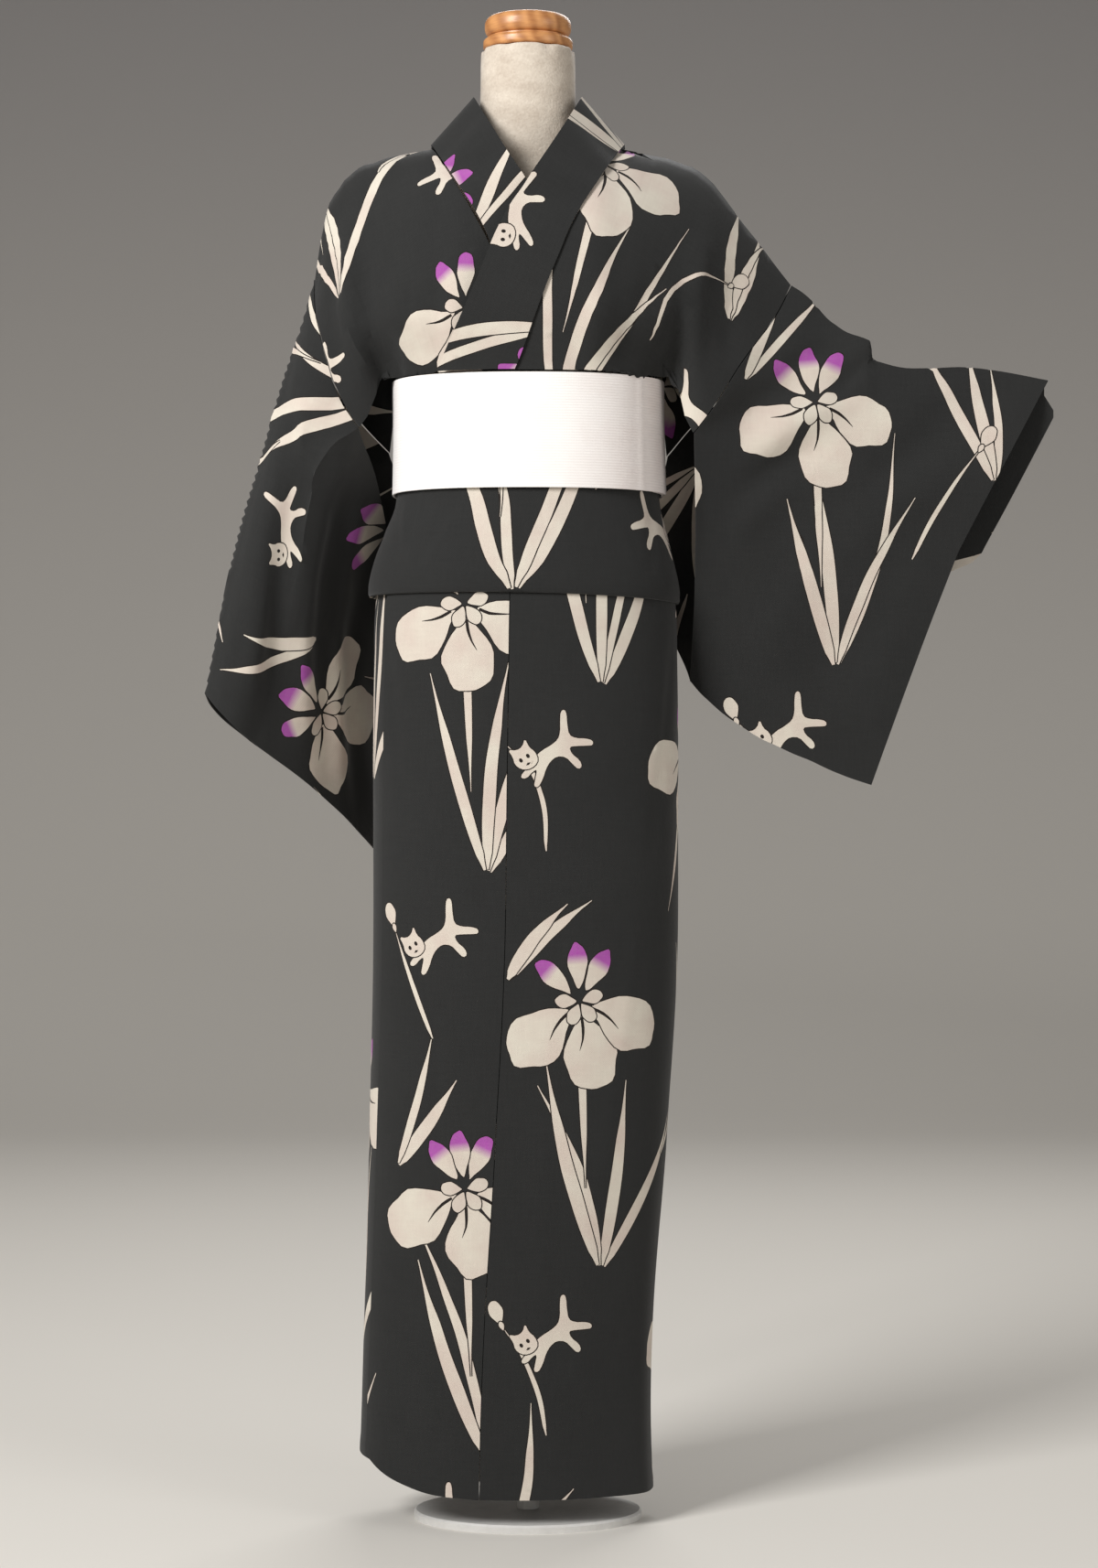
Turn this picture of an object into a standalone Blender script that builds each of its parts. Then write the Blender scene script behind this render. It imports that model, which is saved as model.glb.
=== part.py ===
"""A cotton yukata robe worn by a limbless dress form: the cloth as thin walls, the form inside it.

Metres, +Z up, the front faces -Y. The origin is the middle of the base's underside.
"Left" and "right" are the wearer's: the wearer's left is at +X.
"""

from collections import namedtuple

import bmesh
import bpy
import numpy as np

MM = 0.001

# Driving sizes, in millimetres.
CLOTH = 2.0            # one layer of cotton
BAND = 2.4             # the collar band and the belt, each folded double
FOLD = 2.2             # the waist fold
SEAM = 0.3             # gap between two pieces that are sewn together
LAYER = 8.0            # from an outer front to the front that it covers
PROUD = 3.0            # how far the collar band stands off the panels that it is sewn to
ROUND = 2.35           # how square the body's sections are: 2 is an ellipse
BELT_TOP = 1113.0
BODY_LOW = 1116.0      # the upper body ends just over the belt
BELT_SIDE = 139.0      # outside this, it hangs down beside the belt
BELT_LOW = 1003.0
SKIRT_TOP = 950.0
FOLD_TOP = 1111.0
FOLD_LOW = 896.0
CHEST_RUN = 150.0      # height over which the shoulder rounds into the chest
BACK_RUN = 120.0
CAP_TOP = 1475.0
NECK_TOP = 1441.5
BASE_HALF_WIDTH = 112.0
BASE_HALF_DEPTH = 80.0
BASE_THICK = 8.0
POLE_RADIUS = 11.0

# The garment's outline from hem to waist.
Ring = namedtuple("Ring", "z half_width half_depth x_mid")
RINGS = (
    Ring(20, 147.0, 86, -23.5),
    Ring(159, 144.0, 87, -22.0),
    Ring(375, 148.5, 92, -11.5),
    Ring(681, 152.0, 98, -4.0),
    Ring(850, 151.0, 101, -4.0),
    Ring(896, 149.5, 102, -4.0),
    Ring(925, 146.0, 102, -4.0),
    Ring(965, 137.0, 101, -2.0),
    Ring(1003, 130.0, 99, 0.0),
    Ring(1113, 129.0, 98.5, -1.0),
    Ring(1150, 129.0, 98.5, -1.0),
)

# Soft lengthwise folds of the skirt: where round the body, how wide, how far in or out at the hem.
Drape = namedtuple("Drape", "degrees spread_degrees reach top")
DRAPES = (
    Drape(38, 13, -2.6, 620),
    Drape(66, 10, 2.4, 480),
    Drape(-38, 12, -2.0, 420),
    Drape(118, 14, -4.0, 760),
    Drape(147, 11, 3.6, 640),
    Drape(-128, 15, -4.4, 700),
    Drape(-158, 11, 3.2, 560),
)

# The top line of each shoulder, from the neck outwards, and the body's depth along it.
Shoulder = namedtuple("Shoulder", "x z_left z_right z_back")
SHOULDERS = (
    Shoulder(0, 1352, 1352, 1396),
    Shoulder(50, 1350, 1350, 1376),
    Shoulder(92, 1344, 1344, 1344),
    Shoulder(120, 1338, 1339, 1338),
    Shoulder(150, 1330, 1331, 1330),
    Shoulder(177, 1315, 1316, 1315),
    Shoulder(186, 1305, 1304, 1305),
    Shoulder(201, 1285, 1266, 1285),
    Shoulder(212, 1270, 1196, 1270),
    Shoulder(225, 1254, 1130, 1254),
    Shoulder(242, 1231, 1060, 1231),
    Shoulder(260, 1208, 1000, 1208),
)
Depth = namedtuple("Depth", "x chest belt back back_belt")
DEPTHS = (
    Depth(0, 108, 100, 97, 99),
    Depth(50, 108, 96, 97, 95),
    Depth(90, 99, 81, 91, 80),
    Depth(115, 88, 60, 82, 60),
    Depth(133, 77, 42, 74, 42),
    Depth(165, 60, 55, 60, 50),
    Depth(200, 42, 46, 44, 44),
    Depth(260, 12, 12, 12, 12),
)

# The edges of the upper body panels in front view, a row for each height, from the shoulder down.
Edge = namedtuple("Edge", "x_in z_in x_out z_out")
LEFT_FRONT = (
    Edge(92, 1344, 258, 1210),
    Edge(68, 1300, 243, 1180),
    Edge(47, 1263, 222, 1150),
    Edge(31, 1226, 202, 1121),
    Edge(14, 1184, 184, 1092),
    Edge(-4, 1135, 167, 1068),
    Edge(-12, 1115, 160, 1060),
)
LEFT_BACK = (
    Edge(92, 1344, 258, 1210),
    Edge(76, 1343, 244, 1184),
    Edge(40, 1338, 226, 1152),
    Edge(0, 1332, 206, 1122),
    Edge(0, 1260, 188, 1096),
    Edge(0, 1180, 172, 1074),
    Edge(0, 1115, 163, 1062),
)
RIGHT_FRONT = (
    Edge(-94, 1344, -209, 1203),
    Edge(-70, 1300, -208, 1180),
    Edge(-50, 1263, -202, 1152),
    Edge(-32, 1226, -194, 1124),
    Edge(-14, 1184, -184, 1098),
    Edge(4, 1135, -171, 1076),
    Edge(12, 1115, -163, 1066),
)
RIGHT_BACK = (
    Edge(-94, 1344, -209, 1203),
    Edge(-76, 1343, -209, 1182),
    Edge(-40, 1338, -205, 1154),
    Edge(0, 1332, -198, 1127),
    Edge(0, 1260, -188, 1102),
    Edge(0, 1180, -175, 1080),
    Edge(0, 1115, -166, 1068),
)

# The collar band, from the middle of the back to the belt: the edge that is sewn on, and the fold.
Band = namedtuple("Band", "sewn fold")
COLLAR = (
    Band((0, 78, 1335), (0, 67, 1391)),
    Band((44, 67, 1340), (29, 58, 1392)),
    Band((79, 38, 1344), (47, 31, 1392)),
    Band((93, 6, 1346), (52, -4, 1390)),
    Band((82, -42, 1326), (42, -42, 1372)),
    Band((68, -72, 1300), (21, -72, 1345)),
)
COLLAR_FRONT = (
    Edge(47, 1263, -2, 1311),
    Edge(31, 1226, -25, 1266),
    Edge(14, 1184, -45, 1210),
    Edge(-4, 1135, -70, 1160),
    Edge(-12, 1116, -86, 1116),
)
COLLAR_Y = -89         # how far forward the fold edge comes where the two sides cross
COLLAR_LIES = 1240     # below this height the collar lies on the chest

# The sleeves: a row for each section, from the armhole to the cuff. Each names the points of one
# ring: down the front layer from the shoulder fold, and up the back layer.
Hang = namedtuple("Hang", "front_low low back_low")
LEFT_ARMHOLE = Hang((163, -38, 950), (159, 6, 822), (142, 66, 975))
RIGHT_ARMHOLE = Hang((-143, 22, 996), (-132, 104, 876), (-136, 116, 985))
Cut = namedtuple("Cut", "top front_arm front_mid front_low low back_low back_mid back_arm")
LEFT_SLEEVE = (
    Cut((277, 0, 1197), (238, -27, 1128), (188, -46, 1046), (178, -30, 930), (178, 4, 802),
        (180, 30, 930), (192, 44, 1048), (242, 24, 1130)),
    Cut((300, 1, 1172), (266, -24, 1096), (222, -36, 1018), (210, -24, 900), (210, 2, 777),
        (213, 26, 902), (226, 36, 1020), (270, 23, 1098)),
    Cut((336, 0, 1146), (306, -20, 1066), (268, -26, 984), (250, -20, 864), (246, 0, 757),
        (252, 20, 866), (272, 27, 986), (310, 20, 1068)),
    Cut((392, 2, 1133), (364, -15, 1058), (330, -19, 968), (302, -15, 852), (278, 1, 743),
        (304, 15, 854), (334, 21, 970), (368, 17, 1060)),
    Cut((452, 4, 1128), (424, -11, 1052), (390, -14, 962), (352, -11, 842), (309, 2, 729),
        (356, 12, 844), (394, 17, 964), (430, 14, 1054)),
    Cut((512, 3, 1117), (480, -11, 1032), (440, -12, 948), (392, -9, 838), (338, 2, 719),
        (395, 10, 840), (446, 15, 950), (492, 14, 1034)),
)
RIGHT_SLEEVE = (
    Cut((-222, -6, 1172), (-216, -42, 1108), (-192, -60, 1040), (-164, 12, 954), (-138, 110, 846),
        (-168, 100, 950), (-204, 50, 1042), (-222, 34, 1112)),
    Cut((-240, -16, 1116), (-228, -48, 1058), (-208, -56, 996), (-178, 14, 912), (-142, 114, 804),
        (-186, 92, 906), (-222, 38, 1000), (-240, 18, 1062)),
    Cut((-262, -28, 1030), (-246, -54, 978), (-222, -44, 920), (-188, 18, 842), (-144, 116, 750),
        (-196, 78, 846), (-236, 26, 924), (-260, 2, 982)),
    Cut((-284, -36, 938), (-266, -56, 892), (-240, -36, 842), (-192, 22, 770), (-142, 114, 698),
        (-200, 84, 776), (-252, 16, 846), (-280, -8, 896)),
    Cut((-302, -42, 862), (-284, -56, 824), (-254, -34, 780), (-196, 28, 718), (-140, 118, 656),
        (-204, 84, 722), (-266, 10, 786), (-298, -16, 830)),
    Cut((-313, -44, 808), (-294, -54, 786), (-262, -34, 756), (-196, 32, 700), (-140, 120, 632),
        (-205, 82, 706), (-274, 8, 762), (-306, -20, 792)),
)
BODY_COLUMNS = 9
ARM_STEPS = 8          # rows of a body panel from the shoulder to the underarm, and of its sleeve
HANG_STEPS = 5         # rows of a sleeve below the underarm
SLEEVE_STEPS = 9       # rows of a sleeve from armhole to cuff

# The dress form, from the hips up to the neck.
Body = namedtuple("Body", "z half_width half_depth y_mid")
FORM = (
    Body(806, 60, 40, 0), Body(810, 92, 60, 0), Body(822, 114, 74, 0), Body(850, 126, 82, 0),
    Body(900, 128, 84, 0), Body(960, 118, 80, 0), Body(1030, 106, 75, 0), Body(1090, 106, 76, 0),
    Body(1150, 118, 82, -3), Body(1200, 138, 82, -4), Body(1245, 153, 70, -1),
    Body(1280, 156, 55, 3), Body(1302, 143, 44, 6), Body(1318, 112, 39, 8),
    Body(1330, 80, 40, 8), Body(1345, 60, 43, 6), Body(1365, 50, 44, 4), Body(1390, 47, 44, 2),
    Body(1420, 47, 44, 2), Body(NECK_TOP, 46.5, 43.5, 2),
)
FORM_SIDES = 28

# The turned wooden cap of the neck: radius along x at each height.
Turn = namedtuple("Turn", "z radius")
CAP = (
    Turn(NECK_TOP + 0.4, 40), Turn(NECK_TOP + 1, 43), Turn(1446, 44), Turn(1450, 44),
    Turn(1453, 42), Turn(1454, 40), Turn(1456, 40.5), Turn(1461, 42), Turn(1466, 41),
    Turn(1471, 37), Turn(CAP_TOP - 1, 30), Turn(CAP_TOP, 20),
)
CAP_DEPTH = 0.93

COLOURS = {
    "cloth": (0.030, 0.030, 0.029, 0.85, 0.0),
    "belt": (0.88, 0.85, 0.83, 0.80, 0.0),
    "velvet": (0.62, 0.56, 0.49, 0.90, 0.0),
    "wood": (0.55, 0.25, 0.09, 0.45, 0.0),
    "steel": (0.30, 0.30, 0.31, 0.35, 1.0),
}


def smoothstep(low, high, value):
    part = np.clip((value - low) / (high - low), 0, 1)
    return part * part * (3 - 2 * part)


def column(rows, key, name, value):
    """A table's named column, read smoothly at one value of its key column."""
    keys = [getattr(row, key) for row in rows]
    values = [getattr(row, name) for row in rows]
    return smooth_line(keys, values, value)


def smooth_line(keys, values, at):
    """A smooth curve through (keys, values) that doesn't overshoot between them."""
    keys = np.asarray(keys, float)
    values = np.asarray(values, float)
    steps = np.diff(values, axis=0) / np.diff(keys).reshape((-1,) + (1,) * (values.ndim - 1))
    inner = np.where(steps[1:] * steps[:-1] > 0, (steps[1:] + steps[:-1]) / 2, 0)
    limit = 2.5 * np.minimum(abs(steps[1:]), abs(steps[:-1]))
    slopes = np.concatenate([steps[:1], np.clip(inner, -limit, limit), steps[-1:]])
    at = min(max(at, keys[0]), keys[-1])
    index = min(int(np.searchsorted(keys, at, side="right")) - 1, len(keys) - 2)
    span = keys[index + 1] - keys[index]
    part = (at - keys[index]) / span
    start = values[index] + slopes[index] * span * part
    end = values[index + 1] - slopes[index + 1] * span * (1 - part)
    blend = part * part * (3 - 2 * part)
    return start * (1 - blend) + end * blend


def line_through(points, part):
    """A point at a share of the length of a smooth line through a few points."""
    points = np.asarray(points, float)
    lengths = np.linalg.norm(np.diff(points, axis=0), axis=1)
    keys = np.concatenate([[0], np.cumsum(lengths)])
    return smooth_line(keys, points, part * keys[-1])


def material(name):
    red, green, blue, roughness, metallic = COLOURS[name]
    made = bpy.data.materials.new(name)
    made.use_nodes = True
    shader = made.node_tree.nodes["Principled BSDF"]
    shader.inputs["Base Color"].default_value = (red, green, blue, 1)
    shader.inputs["Roughness"].default_value = roughness
    shader.inputs["Metallic"].default_value = metallic
    return made


def add_mesh(name, points, faces, colour):
    mesh = bpy.data.meshes.new(name)
    mesh.from_pydata([tuple(point) for point in np.asarray(points) * MM], [], faces)
    shape = bmesh.new()
    shape.from_mesh(mesh)
    bmesh.ops.recalc_face_normals(shape, faces=shape.faces)
    shape.to_mesh(mesh)
    shape.free()
    mesh.shade_smooth()
    mesh.set_sharp_from_angle(angle=np.radians(40))
    mesh.materials.append(material(colour))
    made = bpy.data.objects.new(name, mesh)
    bpy.context.collection.objects.link(made)
    return made


def surface_normals(grid, around):
    """The unit normal at each point of a grid; around says that its columns close on themselves."""
    if around:
        wide = np.concatenate([grid[:, -1:], grid, grid[:, :1]], axis=1)
        across = (wide[:, 2:] - wide[:, :-2]) / 2
    else:
        across = np.gradient(grid, axis=1)
    along = np.gradient(grid, axis=0)
    normals = np.cross(across, along)
    return normals / np.linalg.norm(normals, axis=2, keepdims=True)


def add_wall(name, grid, thick, colour, around=False, normals=None):
    """A cloth wall: a grid of points (rows, columns, xyz) thickened evenly to both sides."""
    grid = np.asarray(grid, float)
    if normals is None:
        normals = surface_normals(grid, around)
    rows, columns = grid.shape[:2]
    points = np.concatenate([grid + normals * thick / 2, grid - normals * thick / 2])
    points = points.reshape(-1, 3)

    def at(side, row, col):
        return (side * rows + row) * columns + col % columns

    faces = []
    spans = columns if around else columns - 1
    for row in range(rows - 1):
        for col in range(spans):
            for side in (0, 1):
                quad = [at(side, row, col), at(side, row, col + 1),
                        at(side, row + 1, col + 1), at(side, row + 1, col)]
                faces.append(quad if side else quad[::-1])
    for row in (0, rows - 1):
        for col in range(spans):
            quad = [at(0, row, col), at(0, row, col + 1), at(1, row, col + 1), at(1, row, col)]
            faces.append(quad if row == 0 else quad[::-1])
    if not around:
        for col in (0, columns - 1):
            for row in range(rows - 1):
                quad = [at(0, row, col), at(0, row + 1, col), at(1, row + 1, col), at(1, row, col)]
                faces.append(quad[::-1] if col == 0 else quad)
    return add_mesh(name, points, faces, colour)


def ring_point(degrees, z, inset):
    """A point of the skirt or waist: degrees from the front towards +X, moved in by inset."""
    angle = np.radians(degrees)
    sine = np.sin(angle)
    cosine = np.cos(angle)
    width = column(RINGS, "z", "half_width", z)
    depth = column(RINGS, "z", "half_depth", z)
    x = width * np.sign(sine) * abs(sine) ** (2 / ROUND)
    y = -depth * np.sign(cosine) * abs(cosine) ** (2 / ROUND)
    out = np.array([x / width**2, y / depth**2])
    out /= np.linalg.norm(out)
    reach = -inset
    for drape in DRAPES:
        away = (degrees - drape.degrees + 180) % 360 - 180
        shape = np.exp(-((away / drape.spread_degrees) ** 2))
        reach += drape.reach * shape * smoothstep(drape.top, 20, z)
    x_mid = column(RINGS, "z", "x_mid", z)
    return np.array([x_mid + x + out[0] * reach, y + out[1] * reach, z])


def skirt_inset(z, under):
    """Over and under layers of the skirt: both tuck in where the waist fold and belt cover them."""
    tucked = 4.4 * smoothstep(896, 935, z)
    return CLOTH / 2 + tucked + under * (3.6 + 0.3 * smoothstep(896, 935, z))


# A panel of the skirt: its edges and hem heights, in degrees round the body and millimetres. under
# is how far each edge lies below the outer layer: 0 is outside, 1 is a whole layer in.
Panel = namedtuple("Panel", "name start end start_hem end_hem hem_z start_z_hem end_z_hem "
                   "start_under end_under columns")
SKIRT = (
    Panel("skirt_front_left", -3.0, 90, -6.5, 90, 33, 34, 31, 0, 0, 7),
    Panel("overlap_left", -60, -3.0, -66, -6.5, 44, 70, 34, 0, 0, 5),
    Panel("skirt_front_right", -90, 8, -90, 5, 60, 68, 48, 1, 1, 7),
    Panel("overlap_right", 8, 64, 5, 66, 42, 48, 40, 1, 1, 5),
    Panel("skirt_back_left", 90, 180, 90, 180, 32, 31, 36, 0, 0, 7),
    Panel("skirt_back_right", 180, 270, 180, 270, 52, 36, 68, 0, 1, 7),
)
SKIRT_SHARES = (0, 0.07, 0.17, 0.29, 0.41, 0.53, 0.65, 0.77, 0.87, 0.94, 1)   # heights of its rows


def skirt_panel(panel):
    grid = []
    for up in SKIRT_SHARES:
        line = []
        for col in range(panel.columns + 1):
            part = col / panel.columns
            hem = smooth_line((0, 0.5, 1), (panel.start_z_hem, panel.hem_z, panel.end_z_hem), part)
            z = hem + (SKIRT_TOP - hem) * up
            start = panel.start_hem + (panel.start - panel.start_hem) * up
            end = panel.end_hem + (panel.end - panel.end_hem) * up
            gap = np.degrees(SEAM / 2 / 130)
            degrees = start + gap + (end - start - 2 * gap) * part
            under = panel.start_under + (panel.end_under - panel.start_under) * part**3
            line.append(ring_point(degrees, z, skirt_inset(z, under)))
        grid.append(line)
    return add_wall(panel.name, grid, CLOTH, "cloth")


def waist_fold():
    """The spare length of the robe, bloused over the waist and held by the belt."""
    grid = []
    profile = ((FOLD_LOW, -2.2), (FOLD_LOW + 14, -3.0), (930, -2.4), (960, -1.4), (985, 0.2),
               (1002, 1.5), (1050, 1.6), (FOLD_TOP, 1.6))
    for z, inset in profile:
        line = []
        for step in range(44):
            degrees = step * 360 / 44
            lift = 7 * smoothstep(20, -90, (degrees + 180) % 360 - 180) * (z < 925)
            line.append(ring_point(degrees, z + lift, inset))
        grid.append(line)
    return add_wall("waist_fold", grid, FOLD, "cloth", around=True)


def belt():
    """The belt: once round the waist, its end lying over its start at the left side."""
    grid = []
    for z in (BELT_LOW, (BELT_LOW + BELT_TOP) / 2, BELT_TOP):
        line = []
        for step in range(51):
            degrees = 66 + 378 * step / 50
            over = 3.0 * smoothstep(408, 436, degrees)
            line.append(ring_point(degrees, z, -1.0 - BAND / 2 - over))
        grid.append(line)
    return add_wall("belt", grid, BAND, "belt")


def body_y(x, z, front):
    """How far the upper body lies from the middle, in front or at the back."""
    reach = abs(x)
    if front:
        top = column(SHOULDERS, "x", "z_left" if x >= 0 else "z_right", reach)
        full = column(DEPTHS, "x", "chest", reach)
        belt_depth = column(DEPTHS, "x", "belt", reach)
        run = CHEST_RUN
    else:
        top = column(SHOULDERS, "x", "z_back" if x >= 0 or reach < 92 else "z_right", reach)
        full = column(DEPTHS, "x", "back", reach)
        belt_depth = column(DEPTHS, "x", "back_belt", reach)
        run = BACK_RUN
    below = np.clip((top - z) / run, 0, 1)
    rounding = (1 - (1 - below) ** 2) ** 0.625
    waist = 1 - smoothstep(BELT_TOP, 1175, z)
    depth = (full + (belt_depth - full) * waist) * rounding
    return -depth if front else depth


def edge_at(rows, part):
    return smooth_line(np.linspace(0, 1, len(rows)), np.asarray(rows, float), part)


def body_rows(rows, front, inset):
    """Half of a body panel, from the shoulder line to the belt."""
    sign = 1 if rows[0].x_out > 0 else -1
    name = "z_left" if sign > 0 else "z_right"
    grid = []
    for step in range(ARM_STEPS + 1):
        part = step / ARM_STEPS
        edge = Edge(*edge_at(rows, part))
        line = []
        for col in range(BODY_COLUMNS + 1):
            across = col / BODY_COLUMNS
            x = edge.x_in + (edge.x_out - edge.x_in) * across
            z = edge.z_in + (edge.z_out - edge.z_in) * across
            ridge_x = rows[0].x_in + (rows[0].x_out - rows[0].x_in) * across
            ridge_z = rows[0].z_in + (rows[0].z_out - rows[0].z_in) * across
            z += (column(SHOULDERS, "x", name, abs(ridge_x)) - ridge_z) * (1 - part) ** 1.3
            last = rows[-1]
            low_x = last.x_in + (last.x_out - last.x_in) * across
            low_z = last.z_in + (last.z_out - last.z_in) * across
            beside = smoothstep(BELT_SIDE, abs(last.x_out), abs(low_x))
            hang = BODY_LOW - (BODY_LOW - last.z_out) * beside
            z += (hang - low_z) * part**3
            y = body_y(x, z, front) if step else 0
            line.append([x, y + (inset if front and step else 0), z])
        grid.append(line)
    return np.array(grid)


def bodice(name, front_rows, back_rows, inset):
    """An upper body panel: down the front and down the back from the shoulder, in one length."""
    front = body_rows(front_rows, True, inset)
    back = body_rows(back_rows, False, 0)
    grid = np.concatenate([front[::-1], back[1:]])
    across = grid[:, 1:2] - grid[:, :1]
    grid[:, :1] += across / np.linalg.norm(across, axis=2, keepdims=True) * (SEAM + 0.3)
    add_wall(name, grid, CLOTH, "cloth")
    return grid[:, -1]


def collar():
    """The collar band: round the neck, then left over right down to the belt."""
    left = [(row.sewn, row.fold) for row in COLLAR]
    left += [((row.x_in, COLLAR_Y, row.z_in), (row.x_out, COLLAR_Y, row.z_out)) for row in COLLAR_FRONT]
    left = np.array(left, float)
    right = left * (-1, 1, 1)
    lines = np.concatenate([right[:0:-1], left])
    steps = 40
    columns = 3
    grid = []
    for step in range(steps + 1):
        sewn = smooth_line(np.arange(len(lines)), lines[:, 0], (len(lines) - 1) * step / steps)
        fold = smooth_line(np.arange(len(lines)), lines[:, 1], (len(lines) - 1) * step / steps)
        grid.append([sewn + (fold - sewn) * col / columns for col in range(columns + 1)])
    grid = np.array(grid)
    for step in range(steps + 1):
        for point in grid[step]:
            if point[1] > -20:
                continue
            on_chest = body_y(point[0], point[2], True)
            point[1] = min(point[1], on_chest) if point[2] > COLLAR_LIES else on_chest
            if step < steps / 2:
                point[1] += LAYER * smoothstep(-1350, -1310, -point[2])
    normals = surface_normals(grid, False)
    if normals[steps // 2, 0, 1] < 0:
        normals = -normals
    return add_wall("collar", grid + normals * PROUD, BAND, "cloth", normals=normals)


def hang_line(start, middle, low):
    """The part of a sleeve's layer that hangs below the underarm."""
    return [line_through((start, middle, low), step / HANG_STEPS) for step in range(1, HANG_STEPS + 1)]


def layer_line(top, arm, middle, low_middle, low):
    """One layer of a sleeve from its shoulder fold to its lower edge."""
    upper = [line_through((top, arm, middle), step / ARM_STEPS) for step in range(ARM_STEPS + 1)]
    return upper + hang_line(middle, low_middle, low)


def sleeve(name, armhole, cuts, arm_edge, sign):
    """A sleeve: a flat tube, open at the armhole, along its inner edge and at the cuff."""
    out = np.array([1.2 * sign, 0, -0.6])
    shoulder = ARM_STEPS
    first_front = [arm_edge[shoulder - step] + out for step in range(ARM_STEPS + 1)]
    first_back = [arm_edge[shoulder + step] + out for step in range(ARM_STEPS + 1)]
    first_front += hang_line(first_front[-1], armhole.front_low, armhole.low)
    first_back += hang_line(first_back[-1], armhole.back_low, armhole.low)
    rings = [first_front + first_back[-2:0:-1]]
    for cut in cuts:
        front = layer_line(cut.top, cut.front_arm, cut.front_mid, cut.front_low, cut.low)
        back = layer_line(cut.top, cut.back_arm, cut.back_mid, cut.back_low, cut.low)
        rings.append(front + back[-2:0:-1])
    rings = np.array(rings)
    keys = np.concatenate([[0], np.cumsum(np.linalg.norm(np.diff(rings[:, 4], axis=0), axis=1))])
    rows = [smooth_line(keys, rings, keys[-1] * step / SLEEVE_STEPS) for step in range(SLEEVE_STEPS + 1)]
    return add_wall(name, np.array(rows), CLOTH, "cloth", around=True)


def add_rings(name, rings, colour):
    """A closed solid through level rings, each a list of points with the same count."""
    count = len(rings[0])
    points = [point for ring in rings for point in ring]
    faces = [list(range(count))[::-1], [(len(rings) - 1) * count + side for side in range(count)]]
    for row in range(len(rings) - 1):
        for side in range(count):
            after = (side + 1) % count
            faces.append([row * count + side, row * count + after,
                          (row + 1) * count + after, (row + 1) * count + side])
    return add_mesh(name, points, faces, colour)


def oval(half_width, half_depth, z, y_mid, sides, power):
    ring = []
    for side in range(sides):
        angle = 2 * np.pi * side / sides
        sine = np.sin(angle)
        cosine = np.cos(angle)
        ring.append([half_width * np.sign(cosine) * abs(cosine) ** (2 / power),
                     y_mid + half_depth * np.sign(sine) * abs(sine) ** (2 / power), z])
    return ring


def dress_form():
    rings = [oval(row.half_width, row.half_depth, row.z, row.y_mid, FORM_SIDES, 2.1) for row in FORM]
    add_rings("form_body", rings, "velvet")
    cap = [oval(row.radius, row.radius * CAP_DEPTH, row.z, 2, FORM_SIDES, 2) for row in CAP]
    add_rings("form_cap", cap, "wood")
    pole = [oval(POLE_RADIUS, POLE_RADIUS, z, 0, 16, 2) for z in (BASE_THICK + SEAM, FORM[0].z - SEAM)]
    add_rings("form_pole", pole, "steel")
    base = [oval(BASE_HALF_WIDTH - inset, BASE_HALF_DEPTH - inset, z, 0, 40, 2)
            for inset, z in ((0, 0), (0, BASE_THICK - 2), (2, BASE_THICK))]
    add_rings("form_base", base, "steel")


def main():
    for old in list(bpy.data.objects):
        bpy.data.objects.remove(old)
    for panel in SKIRT:
        skirt_panel(panel)
    waist_fold()
    belt()
    left_edge = bodice("bodice_left", LEFT_FRONT, LEFT_BACK, 0)
    right_edge = bodice("bodice_right", RIGHT_FRONT, RIGHT_BACK, LAYER)
    collar()
    sleeve("sleeve_left", LEFT_ARMHOLE, LEFT_SLEEVE, left_edge, 1)
    sleeve("sleeve_right", RIGHT_ARMHOLE, RIGHT_SLEEVE, right_edge, -1)
    dress_form()


main()
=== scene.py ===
import math
import bmesh
import bpy
import numpy as np
from mathutils import Matrix, Vector
from mathutils.geometry import delaunay_2d_cdt


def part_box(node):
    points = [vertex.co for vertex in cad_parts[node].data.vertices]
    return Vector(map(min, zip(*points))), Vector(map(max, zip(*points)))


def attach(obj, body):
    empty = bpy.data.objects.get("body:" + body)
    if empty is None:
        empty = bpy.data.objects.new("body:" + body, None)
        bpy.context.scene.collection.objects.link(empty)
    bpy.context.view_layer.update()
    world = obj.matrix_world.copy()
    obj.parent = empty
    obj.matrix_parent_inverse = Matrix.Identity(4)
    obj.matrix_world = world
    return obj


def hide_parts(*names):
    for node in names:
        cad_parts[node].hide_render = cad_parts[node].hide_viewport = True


# A cotton yukata on a dress form. Forms and prints are worked out in millimetres,
# and each finished piece is put down in metres.
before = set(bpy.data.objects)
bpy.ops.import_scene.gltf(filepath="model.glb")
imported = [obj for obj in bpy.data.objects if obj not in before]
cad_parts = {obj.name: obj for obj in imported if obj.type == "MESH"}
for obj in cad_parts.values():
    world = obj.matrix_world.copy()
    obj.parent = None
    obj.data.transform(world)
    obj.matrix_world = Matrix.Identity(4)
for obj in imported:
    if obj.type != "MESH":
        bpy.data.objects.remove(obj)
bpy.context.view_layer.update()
mm = 0.001


cameraSet = {"place": (20.7, -3200.0, 720.0), "lens": 74.67, "sensor": 36.0}


def makeCamera():
    data = bpy.data.cameras.new("camera")
    data.lens = cameraSet["lens"]
    data.sensor_width = cameraSet["sensor"]
    data.clip_end = 50
    camera = bpy.data.objects.new("camera", data)
    camera.location = [value * mm for value in cameraSet["place"]]
    camera.rotation_euler = (math.radians(90), 0, 0)
    bpy.context.collection.objects.link(camera)
    bpy.context.scene.camera = camera


makeCamera()


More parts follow.
